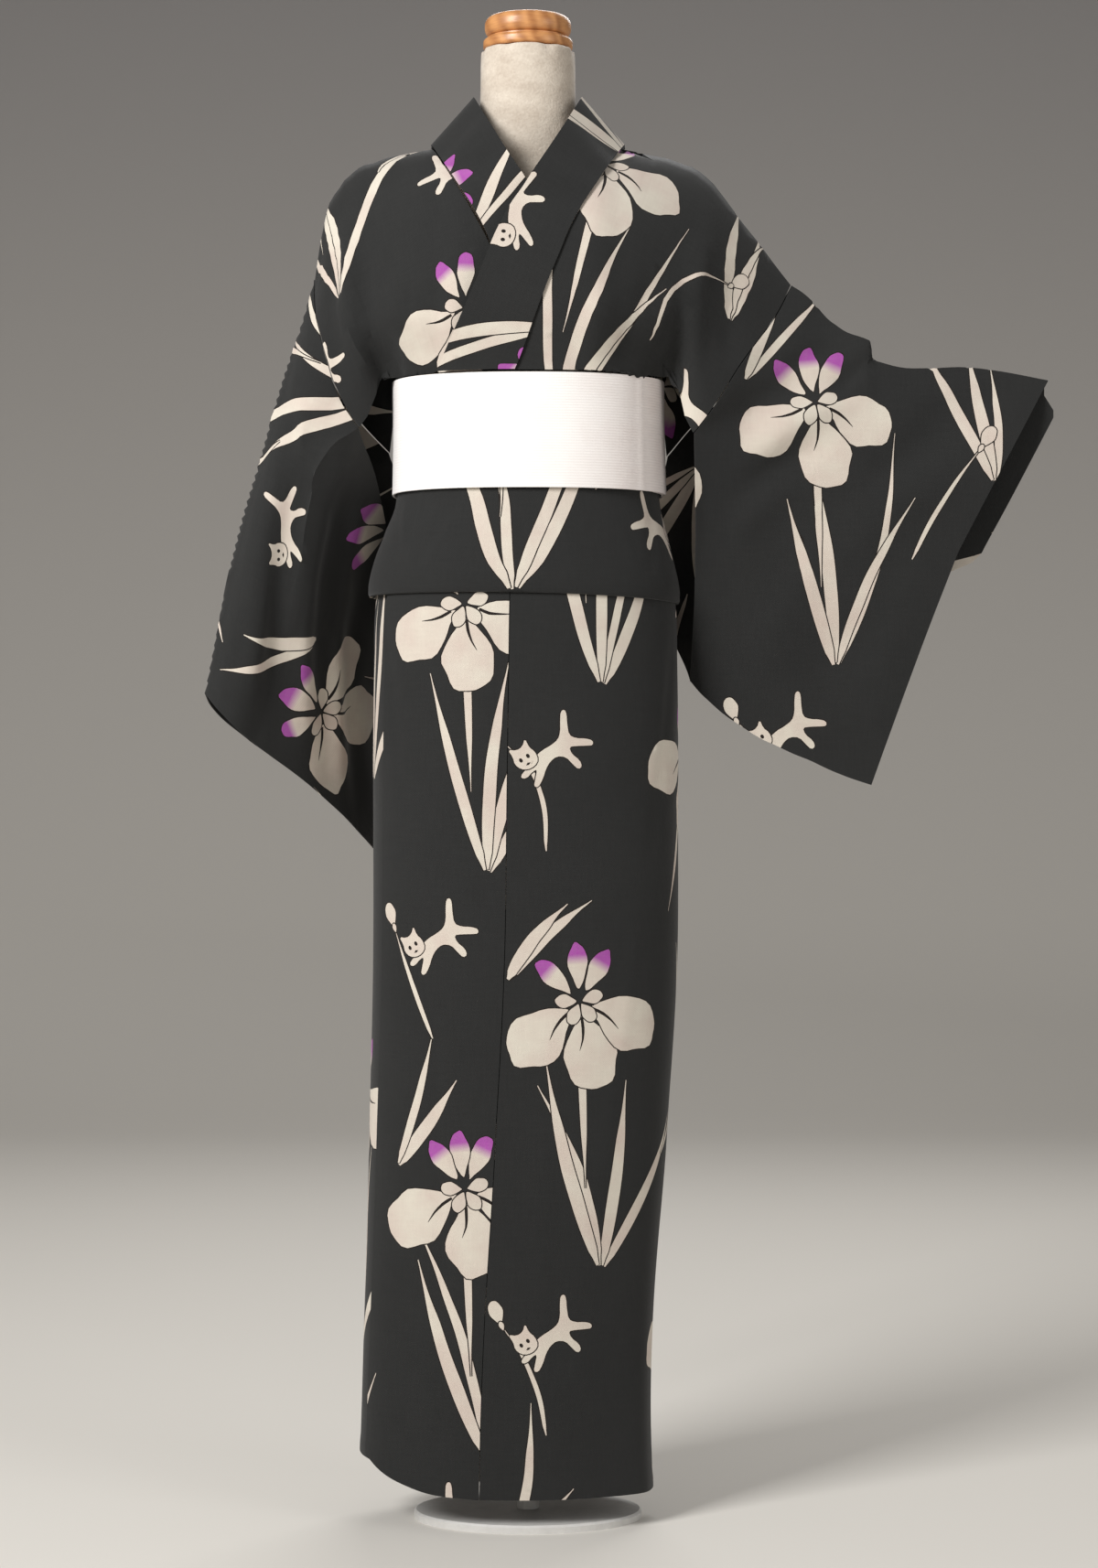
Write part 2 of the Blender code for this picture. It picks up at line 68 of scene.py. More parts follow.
def smoothstep(low, high, value):
    part = np.clip((np.asarray(value, float) - low) / (high - low), 0, 1)
    return part * part * (3 - 2 * part)


def smoothLine(keys, values, at):
    # a smooth curve through (keys, values) that stays between its points; at may be an array
    keys = np.asarray(keys, float)
    values = np.asarray(values, float)
    flat = values.reshape(len(keys), -1)
    spans = np.diff(keys)
    steps = np.diff(flat, axis=0) / spans[:, None]
    inner = np.where(steps[1:] * steps[:-1] > 0, (steps[1:] + steps[:-1]) / 2, 0)
    limit = 2.5 * np.minimum(abs(steps[1:]), abs(steps[:-1]))
    slopes = np.concatenate([steps[:1], np.clip(inner, -limit, limit), steps[-1:]])
    where = np.clip(np.asarray(at, float), keys[0], keys[-1])
    single = where.ndim == 0
    where = np.atleast_1d(where)
    index = np.clip(np.searchsorted(keys, where, side="right") - 1, 0, len(keys) - 2)
    span = spans[index][:, None]
    part = ((where - keys[index]) / spans[index])[:, None]
    start = flat[index] + slopes[index] * span * part
    end = flat[index + 1] - slopes[index + 1] * span * (1 - part)
    blend = part * part * (3 - 2 * part)
    found = start * (1 - blend) + end * blend
    found = found.reshape((len(where),) + values.shape[1:])
    return found[0] if single else found


def lineThrough(points, parts):
    points = np.asarray(points, float)
    keys = np.concatenate([[0], np.cumsum(np.linalg.norm(np.diff(points, axis=0), axis=1))])
    return smoothLine(keys, points, np.asarray(parts) * keys[-1])


form = {
    "cloth": 1.1, "band": 2.2, "round": 2.35, "seam": 0.5,
    "beltLow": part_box("belt")[0][2] / mm, "beltTop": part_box("belt")[1][2] / mm,
    "bodyLow": 1115.2, "beltSide": 139.0, "beltBack": (128.0, 142.0), "skirtTop": 950.0,
    "layer": 8.0, "proud": 2.6, "chestRun": 150.0, "backRun": 120.0,
}

# outline from hem to waist: height, half width, half depth, middle
rings = np.array([
    (20, 147.0, 86, -23.5), (159, 144.0, 87, -22.0), (375, 148.5, 92, -11.5),
    (681, 152.0, 98, -4.0), (850, 151.0, 101, -4.0), (896, 149.5, 102, -4.0),
    (925, 146.0, 102, -4.0), (965, 137.0, 101, -2.0), (1003, 130.0, 99, 0.0),
    (1113, 129.0, 98.5, -1.0), (1150, 129.0, 98.5, -1.0)])
# lengthwise drapes of the skirt: degrees round from the front, spread, reach at the hem, top
drapes = [(38, 13, -2.6, 620), (66, 10, 2.4, 480), (-38, 12, -2.0, 420), (118, 14, -4.0, 760),
          (147, 11, 3.6, 640), (-128, 15, -4.4, 700), (-158, 11, 3.2, 560)]
# finer creases: degrees and height at the lower end, then at the upper end, width in degrees, reach
fineCreases = [(-20, 120, -30, 520, 3.0, -1.1), (14, 60, 6, 420, 2.6, 0.9), (50, 640, 74, 880, 4.5, -1.5),
               (-46, 700, -60, 890, 4.0, -1.2), (30, 300, 44, 620, 3.0, 0.9), (-12, 560, -4, 880, 3.2, -0.8),
               (100, 500, 112, 860, 5.0, -2.2), (132, 420, 150, 880, 4.5, 1.8), (-110, 380, -98, 840, 5.0, -2.0),
               (-140, 500, -152, 890, 4.5, 2.0), (168, 300, 160, 760, 4.0, -1.5), (-172, 120, -160, 520, 4.0, 1.4)]


def ringPoint(degrees, z, inset):
    degrees, z, inset = np.broadcast_arrays(np.asarray(degrees, float), np.asarray(z, float), inset)
    angle = np.radians(degrees)
    sine = np.sin(angle)
    cosine = np.cos(angle)
    size = smoothLine(rings[:, 0], rings[:, 1:], z.ravel()).reshape(z.shape + (3,))
    power = 2 / form["round"]
    x = size[..., 0] * np.sign(sine) * abs(sine) ** power
    y = -size[..., 1] * np.sign(cosine) * abs(cosine) ** power
    out = np.stack([x / size[..., 0] ** 2, y / size[..., 1] ** 2], axis=-1)
    out /= np.linalg.norm(out, axis=-1, keepdims=True)
    reach = -np.array(inset, float)
    for middle, spread, amount, top in drapes:
        away = (degrees - middle + 180) % 360 - 180
        reach += amount * np.exp(-((away / spread) ** 2)) * smoothstep(-top, -20, -z)
    for lowAt, lowZ, highAt, highZ, spread, amount in fineCreases:
        along = np.clip((z - lowZ) / (highZ - lowZ), 0, 1)
        away = (degrees - lowAt - (highAt - lowAt) * along + 180) % 360 - 180
        ends = smoothstep(lowZ - 60, lowZ + 90, z) * smoothstep(-highZ - 20, -highZ + 80, -z)
        reach += amount * np.exp(-((away / spread) ** 2)) * ends
    return np.stack([size[..., 2] + x + out[..., 0] * reach, y + out[..., 1] * reach, z], axis=-1)


def skirtInset(z, under):
    return 1.0 + 4.4 * smoothstep(896, 935, z) + under * (3.6 + 0.3 * smoothstep(896, 935, z))


# top line of each shoulder and the body's depth below it, from the neck outwards
shoulders = np.array([
    (0, 1352, 1352, 1396), (50, 1350, 1350, 1376), (92, 1344, 1344, 1344), (120, 1338, 1339, 1338),
    (150, 1330, 1331, 1330), (177, 1315, 1316, 1315), (186, 1305, 1304, 1305), (201, 1285, 1266, 1285),
    (212, 1270, 1196, 1270), (225, 1254, 1130, 1254), (242, 1231, 1060, 1231), (260, 1208, 1000, 1208)])
depths = np.array([
    (0, 108, 100, 97, 99), (50, 108, 96, 97, 95), (90, 99, 81, 91, 80), (115, 88, 60, 82, 60),
    (133, 77, 42, 74, 42), (165, 60, 55, 60, 50), (200, 42, 46, 44, 44), (260, 12, 12, 12, 12)])


def bodyY(x, z, front):
    reach = abs(x)
    line = smoothLine(shoulders[:, 0], shoulders[:, 1:], reach.ravel()).reshape(reach.shape + (3,))
    deep = smoothLine(depths[:, 0], depths[:, 1:], reach.ravel()).reshape(reach.shape + (4,))
    if front:
        top = np.where(x >= 0, line[..., 0], line[..., 1])
        full, low, run = deep[..., 0], deep[..., 1], form["chestRun"]
    else:
        top = np.where((x >= 0) | (reach < 92), line[..., 2], line[..., 1])
        full, low, run = deep[..., 2], deep[..., 3], form["backRun"]
    below = np.clip((top - z) / run, 0, 1)
    rounding = (1 - (1 - below) ** 2) ** 0.625
    waist = 1 - smoothstep(1113, 1175, z)
    depth = (full + (low - full) * waist) * rounding
    return -depth if front else depth


# every sheet is a grid of points with its flat layout beside it
frontEdges = {
    "left": np.array([(92, 1344, 258, 1210), (68, 1300, 243, 1180), (47, 1263, 222, 1150),
                      (31, 1226, 202, 1121), (14, 1184, 184, 1092), (-4, 1135, 167, 1068),
                      (-12, 1115, 160, 1060)], float),
    "right": np.array([(-94, 1344, -209, 1203), (-70, 1300, -208, 1180), (-50, 1263, -202, 1152),
                       (-32, 1226, -194, 1124), (-14, 1184, -184, 1098), (4, 1135, -171, 1076),
                       (12, 1115, -163, 1066)], float)}
backEdges = {
    "left": np.array([(92, 1344, 258, 1210), (76, 1343, 244, 1184), (40, 1338, 226, 1152),
                      (0, 1332, 206, 1122), (0, 1260, 188, 1096), (0, 1180, 166, 1070),
                      (0, 1115, 138, 1030)], float),
    "right": np.array([(-94, 1344, -209, 1203), (-76, 1343, -209, 1182), (-40, 1338, -205, 1154),
                       (0, 1332, -198, 1127), (0, 1260, -188, 1102), (0, 1180, -170, 1074),
                       (0, 1115, -138, 1034)], float)}
# soft creases of the upper body: foot x, foot z, head x, head z, width, reach
bodyCreases = {
    "left": [(118, 1112, 170, 1236, 12, -4.6), (92, 1116, 122, 1206, 10, 3.2), (168, 1080, 176, 1270, 9, -6.5),
             (146, 1090, 158, 1230, 10, 4.0), (56, 1118, 84, 1200, 10, -2.6), (196, 1120, 206, 1230, 10, 4.0)],
    "right": [(-150, 1090, -172, 1270, 8, -7.0), (-136, 1100, -158, 1240, 9, 4.6), (-176, 1100, -190, 1240, 8, 4.0),
              (-108, 1116, -128, 1220, 11, -3.6), (-76, 1118, -92, 1200, 10, 2.6)]}


def creased(points, normals, plane, creases):
    # soft troughs and ridges along straight lines of a plane, fading at both ends
    moved = points.copy()
    for footA, footB, headA, headB, spread, amount in creases:
        foot = np.array([footA, footB], float)
        run = np.array([headA, headB], float) - foot
        length = np.linalg.norm(run)
        along = (plane - foot) @ run / length**2
        across = ((plane - foot) @ np.array([-run[1], run[0]])) / length
        bow = 0.06 * length * np.sin(np.pi * np.clip(along, 0, 1))
        fade = smoothstep(-0.12, 0.28, along) * smoothstep(-1.12, -0.62, -along)
        moved += normals * (amount * np.exp(-(((across - bow) / spread) ** 2)) * fade)[..., None]
    return moved


def normalsOf(grid):
    across = np.gradient(grid, axis=1)
    along = np.gradient(grid, axis=0)
    normals = np.cross(across, along)
    return normals / np.maximum(np.linalg.norm(normals, axis=-1, keepdims=True), 1e-9)


def laidFlat(grid, layout, rounds=260):
    # eases a first layout until neighbouring points are as far apart as they are on the cloth
    spots = layout.astype(float).copy()
    rows, columns = spots.shape[:2]
    pairs = []
    for down, side in ((0, 1), (1, 0), (1, 1), (1, -1), (0, 2), (2, 0)):
        for start in range(2 if max(down, abs(side)) == 1 else 4):
            if down:
                a = np.arange(start, rows - down, 2 * down)
                first = (a[:, None], np.arange(max(0, -side), columns - max(0, side))[None, :])
            else:
                b = np.arange(start, columns - side, 2 * side)
                first = (np.arange(rows)[:, None], b[None, :])
            second = (first[0] + down, first[1] + side)
            if first[0].size and first[1].size:
                between = (first[0] + (down + 1) // 2, first[1] + (side + 1) // 2)
                rest = np.linalg.norm(grid[first] - grid[second], axis=-1)
                if max(down, side) == 2:
                    rest = np.linalg.norm(grid[first] - grid[between], axis=-1) + np.linalg.norm(
                        grid[between] - grid[second], axis=-1)
                pairs.append((first, second, rest))
    for step in range(rounds):
        for first, second, rest in pairs:
            run = spots[second] - spots[first]
            length = np.maximum(np.linalg.norm(run, axis=-1), 1e-6)
            move = run * ((length - rest) / length * 0.35)[..., None]
            spots[first] += move
            spots[second] -= move
    return spots


def bodyHalf(side, front, rows, columns, inset):
    edges = (frontEdges if front else backEdges)[side]
    sign = 1 if side == "left" else -1
    lineColumn = 1 if side == "left" else 2
    part = np.linspace(0, 1, rows + 1)
    edge = smoothLine(np.linspace(0, 1, len(edges)), edges, part)
    across = np.linspace(0, 1, columns + 1)
    x = edge[:, 0:1] + (edge[:, 2:3] - edge[:, 0:1]) * across
    z = edge[:, 1:2] + (edge[:, 3:4] - edge[:, 1:2]) * across
    ridgeX = edges[0, 0] + (edges[0, 2] - edges[0, 0]) * across
    ridgeZ = edges[0, 1] + (edges[0, 3] - edges[0, 1]) * across
    ridge = smoothLine(shoulders[:, 0], shoulders[:, lineColumn], abs(ridgeX))
    z = z + (ridge - ridgeZ) * (1 - part[:, None]) ** 1.3
    last = edges[-1]
    lowX = last[0] + (last[2] - last[0]) * across
    lowZ = last[1] + (last[3] - last[1]) * across
    clear, hung = (form["beltSide"], abs(last[2])) if front else form["beltBack"]
    beside = smoothstep(clear, hung, abs(lowX))
    hang = form["bodyLow"] - (form["bodyLow"] - last[3]) * beside
    z = z + (hang - lowZ) * part[:, None] ** 3
    y = bodyY(x, z, front)
    y[0] = 0
    if front:
        y = y + inset * smoothstep(0, 1 / 8, part)[:, None]
    return np.stack([x, y, z], axis=-1), sign


def bodySheet(side, inset):
    front, sign = bodyHalf(side, True, 34, 24, inset)
    back, sign = bodyHalf(side, False, 34, 24, 0)
    ridgeLine = front[0, :, [0, 2]]
    order = np.argsort(ridgeLine[0])
    mirror = np.interp(back[..., 0], ridgeLine[0][order], ridgeLine[1][order])
    layouts = []
    for layer, turn in ((front, 1), (back, -1)):
        step = np.diff(layer, axis=0)
        deeper = np.linalg.norm(step[..., 1:], axis=-1) - abs(step[..., 2])
        deeper = np.concatenate([np.zeros((1, layer.shape[1])), np.cumsum(deeper, axis=0)])
        height = layer[..., 2] if turn > 0 else 2 * mirror - layer[..., 2]
        layouts.append(np.stack([layer[..., 0], height - turn * deeper], axis=-1))
    first = np.concatenate([layouts[0][::-1], layouts[1][1:]])
    flat = laidFlat(np.concatenate([front[::-1], back[1:]]), first)
    creases = bodyCreases[side]
    frontNormals = normalsOf(front) * sign
    backNormals = normalsOf(back) * -sign
    front = creased(front, frontNormals, front[..., [0, 2]], creases)
    mirrored = [(a * 0.96, b - 12, c * 0.9, d - 20, spread * 1.3, amount * 0.8)
                for a, b, c, d, spread, amount in creases]
    back = creased(back, backNormals, back[..., [0, 2]], mirrored)
    return np.concatenate([front[::-1], back[1:]]), flat


# the collar band: sewn edge and fold edge, from the middle of the back to the belt
collarRows = np.array([
    ((0, 78, 1335), (0, 67, 1391)), ((44, 67, 1340), (29, 58, 1392)), ((79, 38, 1344), (46, 31, 1392)),
    ((93, 6, 1346), (50.5, -4, 1391)), ((82, -42, 1326), (41, -46, 1369)), ((68, -72, 1300), (20, -74, 1331)),
    ((47, -89, 1263), (-2, -89, 1295)), ((31, -89, 1226), (-25, -89, 1256)), ((14, -89, 1184), (-45, -89, 1208)),
    ((-4, -89, 1135), (-70, -89, 1151)), ((-12, -89, 1115.5), (-86, -89, 1115.5))], float)


def collarSheet():
    lines = np.concatenate([(collarRows * (-1, 1, 1))[:0:-1], collarRows])
    count = 180
    stations = np.linspace(0, len(lines) - 1, count + 1)
    pair = smoothLine(np.arange(len(lines)), lines, stations)
    across = np.linspace(0, 1, 11)[None, :, None]
    grid = pair[:, 0][:, None] * (1 - across) + pair[:, 1][:, None] * across
    under = np.arange(count + 1)[:, None] < count / 2
    onChest = bodyY(grid[..., 0], grid[..., 2], True)
    laid = np.where(grid[..., 2] > 1240, np.minimum(grid[..., 1], onChest), onChest)
    laid = laid + under * form["layer"] * smoothstep(-1350, -1310, -grid[..., 2])
    grid[..., 1] = np.where(grid[..., 1] > -20, grid[..., 1], laid)
    grid[..., 1] = softened(grid[..., 1])
    normals = normalsOf(grid)
    if normals[count // 2, 0, 1] < 0:
        normals = -normals
    grid = grid + normals * form["proud"]
    middle = (pair[:, 0] + pair[:, 1]) / 2
    along = np.concatenate([[0], np.cumsum(np.linalg.norm(np.diff(middle, axis=0), axis=1))])
    along -= along[count // 2]
    width = np.linalg.norm(pair[:, 1] - pair[:, 0], axis=1)
    flat = np.stack([along[:, None] + 0 * across[..., 0], width[:, None] * across[..., 0]], axis=-1)
    return grid, flat


def softened(values):
    # evens out a grid's values along its length, a few times
    for step in range(6):
        values = np.concatenate([values[:1], (values[:-2] + 2 * values[1:-1] + values[2:]) / 4, values[-1:]])
    return values


# points of one ring at each section: down the front layer from the shoulder fold, and up the back
leftHang = ((163, -38, 950), (160, 10, 822), (125, 80, 960))
rightHang = ((-145, 22, 996), (-134, 106, 876), (-118, 106, 966))
leftSleeve = [
    ((277, 0, 1197), (238, -27, 1128), (188, -46, 1046), (178, -30, 930), (178, 4, 802), (180, 30, 930),
     (192, 44, 1048), (242, 24, 1130)),
    ((300, 1, 1172), (266, -24, 1096), (222, -36, 1018), (210, -24, 900), (210, 2, 777), (213, 26, 902),
     (226, 36, 1020), (270, 23, 1098)),
    ((336, 0, 1146), (306, -20, 1066), (268, -26, 984), (250, -20, 864), (246, 0, 757), (252, 20, 866),
     (272, 27, 986), (310, 20, 1068)),
    ((392, 2, 1133), (364, -15, 1058), (330, -19, 968), (302, -15, 852), (278, 1, 743), (304, 15, 854),
     (334, 21, 970), (368, 17, 1060)),
    ((452, 4, 1128), (424, -11, 1052), (390, -14, 962), (352, -11, 842), (309, 2, 729), (356, 12, 844),
     (394, 17, 964), (430, 14, 1054)),
    ((512, 3, 1117), (466, -11, 1032), (422, -12, 948), (380, -9, 838), (338, 2, 719), (382, 10, 840),
     (424, 15, 948), (470, 14, 1034))]
rightSleeve = [
    ((-222, -6, 1172), (-216, -42, 1108), (-192, -60, 1040), (-164, 12, 954), (-138, 110, 846),
     (-168, 100, 950), (-204, 50, 1042), (-222, 34, 1112)),
    ((-240, -16, 1116), (-228, -48, 1058), (-208, -56, 996), (-178, 14, 912), (-142, 114, 804),
     (-186, 92, 906), (-222, 38, 1000), (-240, 18, 1062)),
    ((-262, -28, 1030), (-246, -54, 978), (-222, -44, 920), (-188, 18, 842), (-144, 116, 750),
     (-196, 78, 846), (-236, 26, 924), (-260, 2, 982)),
    ((-284, -36, 938), (-266, -56, 892), (-240, -36, 842), (-192, 22, 770), (-142, 114, 698),
     (-200, 84, 776), (-252, 16, 846), (-280, -8, 896)),
    ((-302, -42, 862), (-284, -56, 824), (-254, -34, 780), (-196, 28, 718), (-140, 118, 656),
     (-204, 84, 722), (-266, 10, 786), (-298, -16, 830)),
    ((-313, -44, 808), (-294, -54, 786), (-262, -34, 756), (-196, 32, 700), (-140, 120, 632),
     (-205, 82, 706), (-274, 8, 762), (-306, -20, 792))]
armCount = 8 * 3
hangCount = 5 * 5


def layerLine(top, arm, middle, lowMiddle, low):
    upper = lineThrough((top, arm, middle), np.linspace(0, 1, armCount + 1))
    lower = lineThrough((middle, lowMiddle, low), np.linspace(0, 1, hangCount + 1)[1:])
    return np.concatenate([upper, lower])


def foldedOver(points, start, ridgeLine):
    # the points turned over across a line through start, in the direction of a ridge
    along = (ridgeLine[-1] - ridgeLine[0]) / np.linalg.norm(ridgeLine[-1] - ridgeLine[0])
    away = points - start
    return start + 2 * (away @ along)[..., None] * along - away


def fannedOut(grid, ridge):
    # rows laid straight, each at the angle that it makes with the ridge
    line = grid[:, ridge]
    down = np.gradient(line, axis=0)
    down /= np.linalg.norm(down, axis=1, keepdims=True)
    arm = np.concatenate([[0], np.cumsum(np.linalg.norm(np.diff(line, axis=0), axis=1))])[:, None]
    flat = np.zeros(grid.shape[:2] + (2,))
    count = np.arange(len(grid))
    for side, layer in ((-1, slice(ridge, None, -1)), (1, slice(ridge, None))):
        points = grid[:, layer]
        edge = points[:, -1] - line
        cosine = (edge * down).sum(axis=1) / np.linalg.norm(edge, axis=1)
        turn = np.arccos(np.polyval(np.polyfit(count, cosine, 2), count))[:, None]
        run = np.cumsum(np.linalg.norm(np.diff(points, axis=1), axis=-1), axis=1)
        run = np.concatenate([0 * arm, run], axis=1)
        flat[:, layer] = np.stack([arm + run * np.cos(turn), side * run * np.sin(turn)], axis=-1)
    return flat


def sleeveSheet(side, hang, cuts, armEdge, sign, creases):
    # armEdge is the body panel's outer edge from its front foot over the shoulder to its back foot
    out = np.array([1.0 * sign, 0, -0.5])
    half = len(armEdge) // 2
    halves = []
    for line, lowMiddle in ((armEdge[half::-1], hang[0]), (armEdge[half:], hang[2])):
        keys = np.linspace(0, 1, len(line))
        upper = smoothLine(keys, line, np.linspace(0, 1, armCount + 1)) + out
        lower = lineThrough((upper[-1], lowMiddle, hang[1]), np.linspace(0, 1, hangCount + 1)[1:])
        halves.append(np.concatenate([upper, lower]))
    rows = [np.concatenate([halves[0][::-1], halves[1][1:]])]
    for top, frontArm, frontMid, frontLow, low, backLow, backMid, backArm in cuts:
        front = layerLine(top, frontArm, frontMid, frontLow, low)
        back = layerLine(top, backArm, backMid, backLow, low)
        rows.append(np.concatenate([front[::-1], back[1:]]))
    rows = np.array(rows)
    probe = rows[:, armCount + hangCount - 12]
    keys = np.concatenate([[0], np.cumsum(np.linalg.norm(np.diff(probe, axis=0), axis=1))])
    stations = np.linspace(0, keys[-1], 45)
    if side == "left":
        tuck = np.interp(336, rows[:, armCount + hangCount, 0], keys)
        stations = np.sort(np.concatenate([stations, tuck + np.array([-5, -2.5, 0, 2.5, 5, 9])]))
    grid = smoothLine(keys, rows, stations)
    ridge = armCount + hangCount
    if side == "left":
        flat = grid[..., [0, 2]].copy()
        flat[:, ridge:] = foldedOver(flat[:, ridge:], flat[:, ridge:ridge + 1], flat[:, ridge])
    else:
        flat = fannedOut(grid, ridge)
    if side == "left":
        cell = np.arange(grid.shape[1])[None, :] - ridge
        back = smoothstep(1, 5, cell)
        part = (stations / keys[-1])[:, None]
        grid[..., 0] += 24 * back * smoothstep(928, 944, grid[..., 2]) * smoothstep(0.72, 1.0, part)
        near = np.exp(-((cell / 5.0) ** 2))
        overhang = smoothstep(292, 330, grid[..., 0]) * smoothstep(-340, -335, -grid[..., 0])
        sunk = smoothstep(337, 342, grid[..., 0]) * smoothstep(-430, -370, -grid[..., 0])
        grid[..., 2] += near * (9 * overhang - 6 * sunk)
        grid[..., 1] -= 5 * near * overhang
    normals = normalsOf(grid) * sign
    view = grid[..., [0, 2]]
    if side == "right":
        view = np.stack([grid[..., 0] * 0.72 + grid[..., 1] * 0.69, grid[..., 2]], axis=-1)
    grid = creased(grid, normals, view, creases)
    return grid, flat


def beltSheet():
    degrees = np.linspace(66, 444, 190)[None, :]
    z = np.linspace(form["beltLow"], form["beltTop"], 17)[:, None]
    over = 3.0 * smoothstep(408, 436, degrees)
    grid = ringPoint(degrees + 0 * z, z + 0 * degrees, -1.0 - 1.2 - over + 0 * z)
    ripple = 0.7 * np.exp(-(((degrees - 414) / 1.6) ** 2)) * np.ones_like(z)
    grid = grid + normalsOf(grid) * ripple[..., None]
    middle = grid[len(grid) // 2]
    along = np.concatenate([[0], np.cumsum(np.linalg.norm(np.diff(middle, axis=0), axis=1))])
    flat = np.stack([along[None, :] + 0 * z, z + 0 * along[None, :]], axis=-1)
    return grid, flat


foldProfile = np.array([(905.0, 2.4), (899.0, 0.6), (896.3, -1.0), (897.6, -2.6), (903, -3.6), (914, -4.2), (932, -3.6),
                        (960, -1.6), (985, 0.2), (1002, 1.5), (1050, 1.6), (1110.5, 1.6)])
# creases of the waist fold: degrees and height at one end, then at the other, width, reach
foldCreases = [(-62, 985, -40, 925, 3.4, 2.2), (-30, 992, -42, 915, 2.2, -1.6), (30, 990, 44, 935, 4.0, 1.6),
               (62, 980, 52, 915, 4.0, -2.0), (4, 995, 16, 945, 3.0, 1.0), (120, 985, 132, 915, 4.6, 2.2),
               (150, 990, 142, 930, 4.0, -1.8), (-120, 985, -134, 920, 4.4, 2.0), (-160, 990, -150, 930, 4.0, -1.8),
               (178, 990, 176, 925, 3.6, 1.4)]


def foldSheet():
    degrees = np.linspace(-180, 180, 221)[None, :]
    keys = np.concatenate([[0], np.cumsum(np.linalg.norm(np.diff(foldProfile, axis=0), axis=1))])
    run = np.concatenate([np.linspace(0, 22, 9), np.linspace(22, keys[-1], 28)[1:]])
    profile = smoothLine(keys, foldProfile, run)
    z = profile[:, 0][:, None] + 0 * degrees
    inset = profile[:, 1][:, None] + 0 * degrees
    lift = 7 * smoothstep(-90, 20, -degrees) * smoothstep(-935, -905, -z)
    for lowAt, lowZ, highAt, highZ, spread, amount in foldCreases:
        along = np.clip((z - lowZ) / (highZ - lowZ), 0, 1)
        away = (degrees - lowAt - (highAt - lowAt) * along + 180) % 360 - 180
        ends = smoothstep(914, 935, z) * smoothstep(-1000, -975, -z)
        inset = inset - 0.55 * amount * np.exp(-((away / spread) ** 2)) * ends
    edge = 1.2 * np.exp(-(((degrees + 41 + (z - 900) * 0.08) / 1.0) ** 2)) * smoothstep(898, 912, z)
    grid = ringPoint(degrees + 0 * z, z + lift, inset - 0.6 * edge)
    middle = grid[20]
    along = np.concatenate([[0], np.cumsum(np.linalg.norm(np.diff(middle, axis=0), axis=1))])
    along -= along[len(along) // 2]
    flat = np.stack([along[None, :] + 0 * z, 896 + run[:, None] - 12 + 0 * z], axis=-1)
    return grid, flat


# start and end at the top and at the hem, degrees; hem heights; how far under the outer layer
skirtPanels = {
    "skirt_front_left": (-3.0, 90, -6.5, 90, (34, 33, 31), (0, 0), 34),
    "overlap_left": (-60, -3.0, -66, -6.5, (70, 44, 34), (0, 0), 22),
    "skirt_front_right": (-90, 8, -90, 5, (68, 60, 48), (1, 1), 34),
    "overlap_right": (8, 64, 5, 66, (48, 42, 40), (1, 1), 22),
    "skirt_back_left": (90, 180, 90, 180, (31, 32, 36), (0, 0), 34),
    "skirt_back_right": (180, 270, 180, 270, (36, 52, 68), (0, 1), 34)}


def skirtSheet(name):
    start, end, startHem, endHem, hems, unders, columns = skirtPanels[name]
    up = np.linspace(0, 1, 110)[:, None]
    part = np.linspace(0, 1, columns + 1)[None, :]
    hem = smoothLine((0, 0.5, 1), hems, part[0])[None, :]
    z = hem + (form["skirtTop"] - hem) * up
    first = startHem + (start - startHem) * up
    last = endHem + (end - endHem) * up
    gap = math.degrees(form["seam"] / 2 / 130)
    degrees = first + gap + (last - first - 2 * gap) * part
    under = unders[0] + (unders[1] - unders[0]) * part**3 + 0 * z
    hemRoll = 0.5 * smoothstep(-15, -12, -(z - hem)) * np.ones_like(z)
    grid = ringPoint(degrees, z, skirtInset(z, under) - hemRoll)
    spans = np.linalg.norm(np.diff(grid[..., :2], axis=1), axis=-1)
    along = np.concatenate([np.zeros((len(grid), 1)), np.cumsum(spans, axis=1)], axis=1)
    anchor = {"skirt_front_left": 0, "overlap_left": -1, "skirt_front_right": -1, "overlap_right": 0}.get(name, 0)
    shift = grid[:, anchor, 0:1] if name in ("skirt_front_left", "overlap_left") else grid[50:51, anchor, 0:1]
    flat = np.stack([along - along[:, anchor:anchor + 1 or None] + shift, z], axis=-1)
    return grid, flat


# the print: every motif is an outline in the sheet's flat layout, in millimetres
def locate(layout, targets):
    # the row and column of a layout at which it reaches each target, past its edges if need be
    rows, columns = layout.shape[:2]
    nearest = np.array([np.argmin(((layout - target) ** 2).sum(axis=-1)) for target in targets])
    place = np.stack([nearest // columns, nearest % columns], axis=-1).astype(float)
    for step in range(24):
        at, downward, sideways = patchAt(layout, place)
        miss = targets - at
        area = downward[:, 0] * sideways[:, 1] - downward[:, 1] * sideways[:, 0]
        area = np.where(abs(area) < 1e-6, 1e-6, area)
        down = (miss[:, 0] * sideways[:, 1] - miss[:, 1] * sideways[:, 0]) / area
        side = (downward[:, 0] * miss[:, 1] - downward[:, 1] * miss[:, 0]) / area
        place = place + np.clip(np.stack([down, side], axis=-1), -2.5, 2.5)
        place = np.clip(place, -4, (rows + 3, columns + 3))
    return place


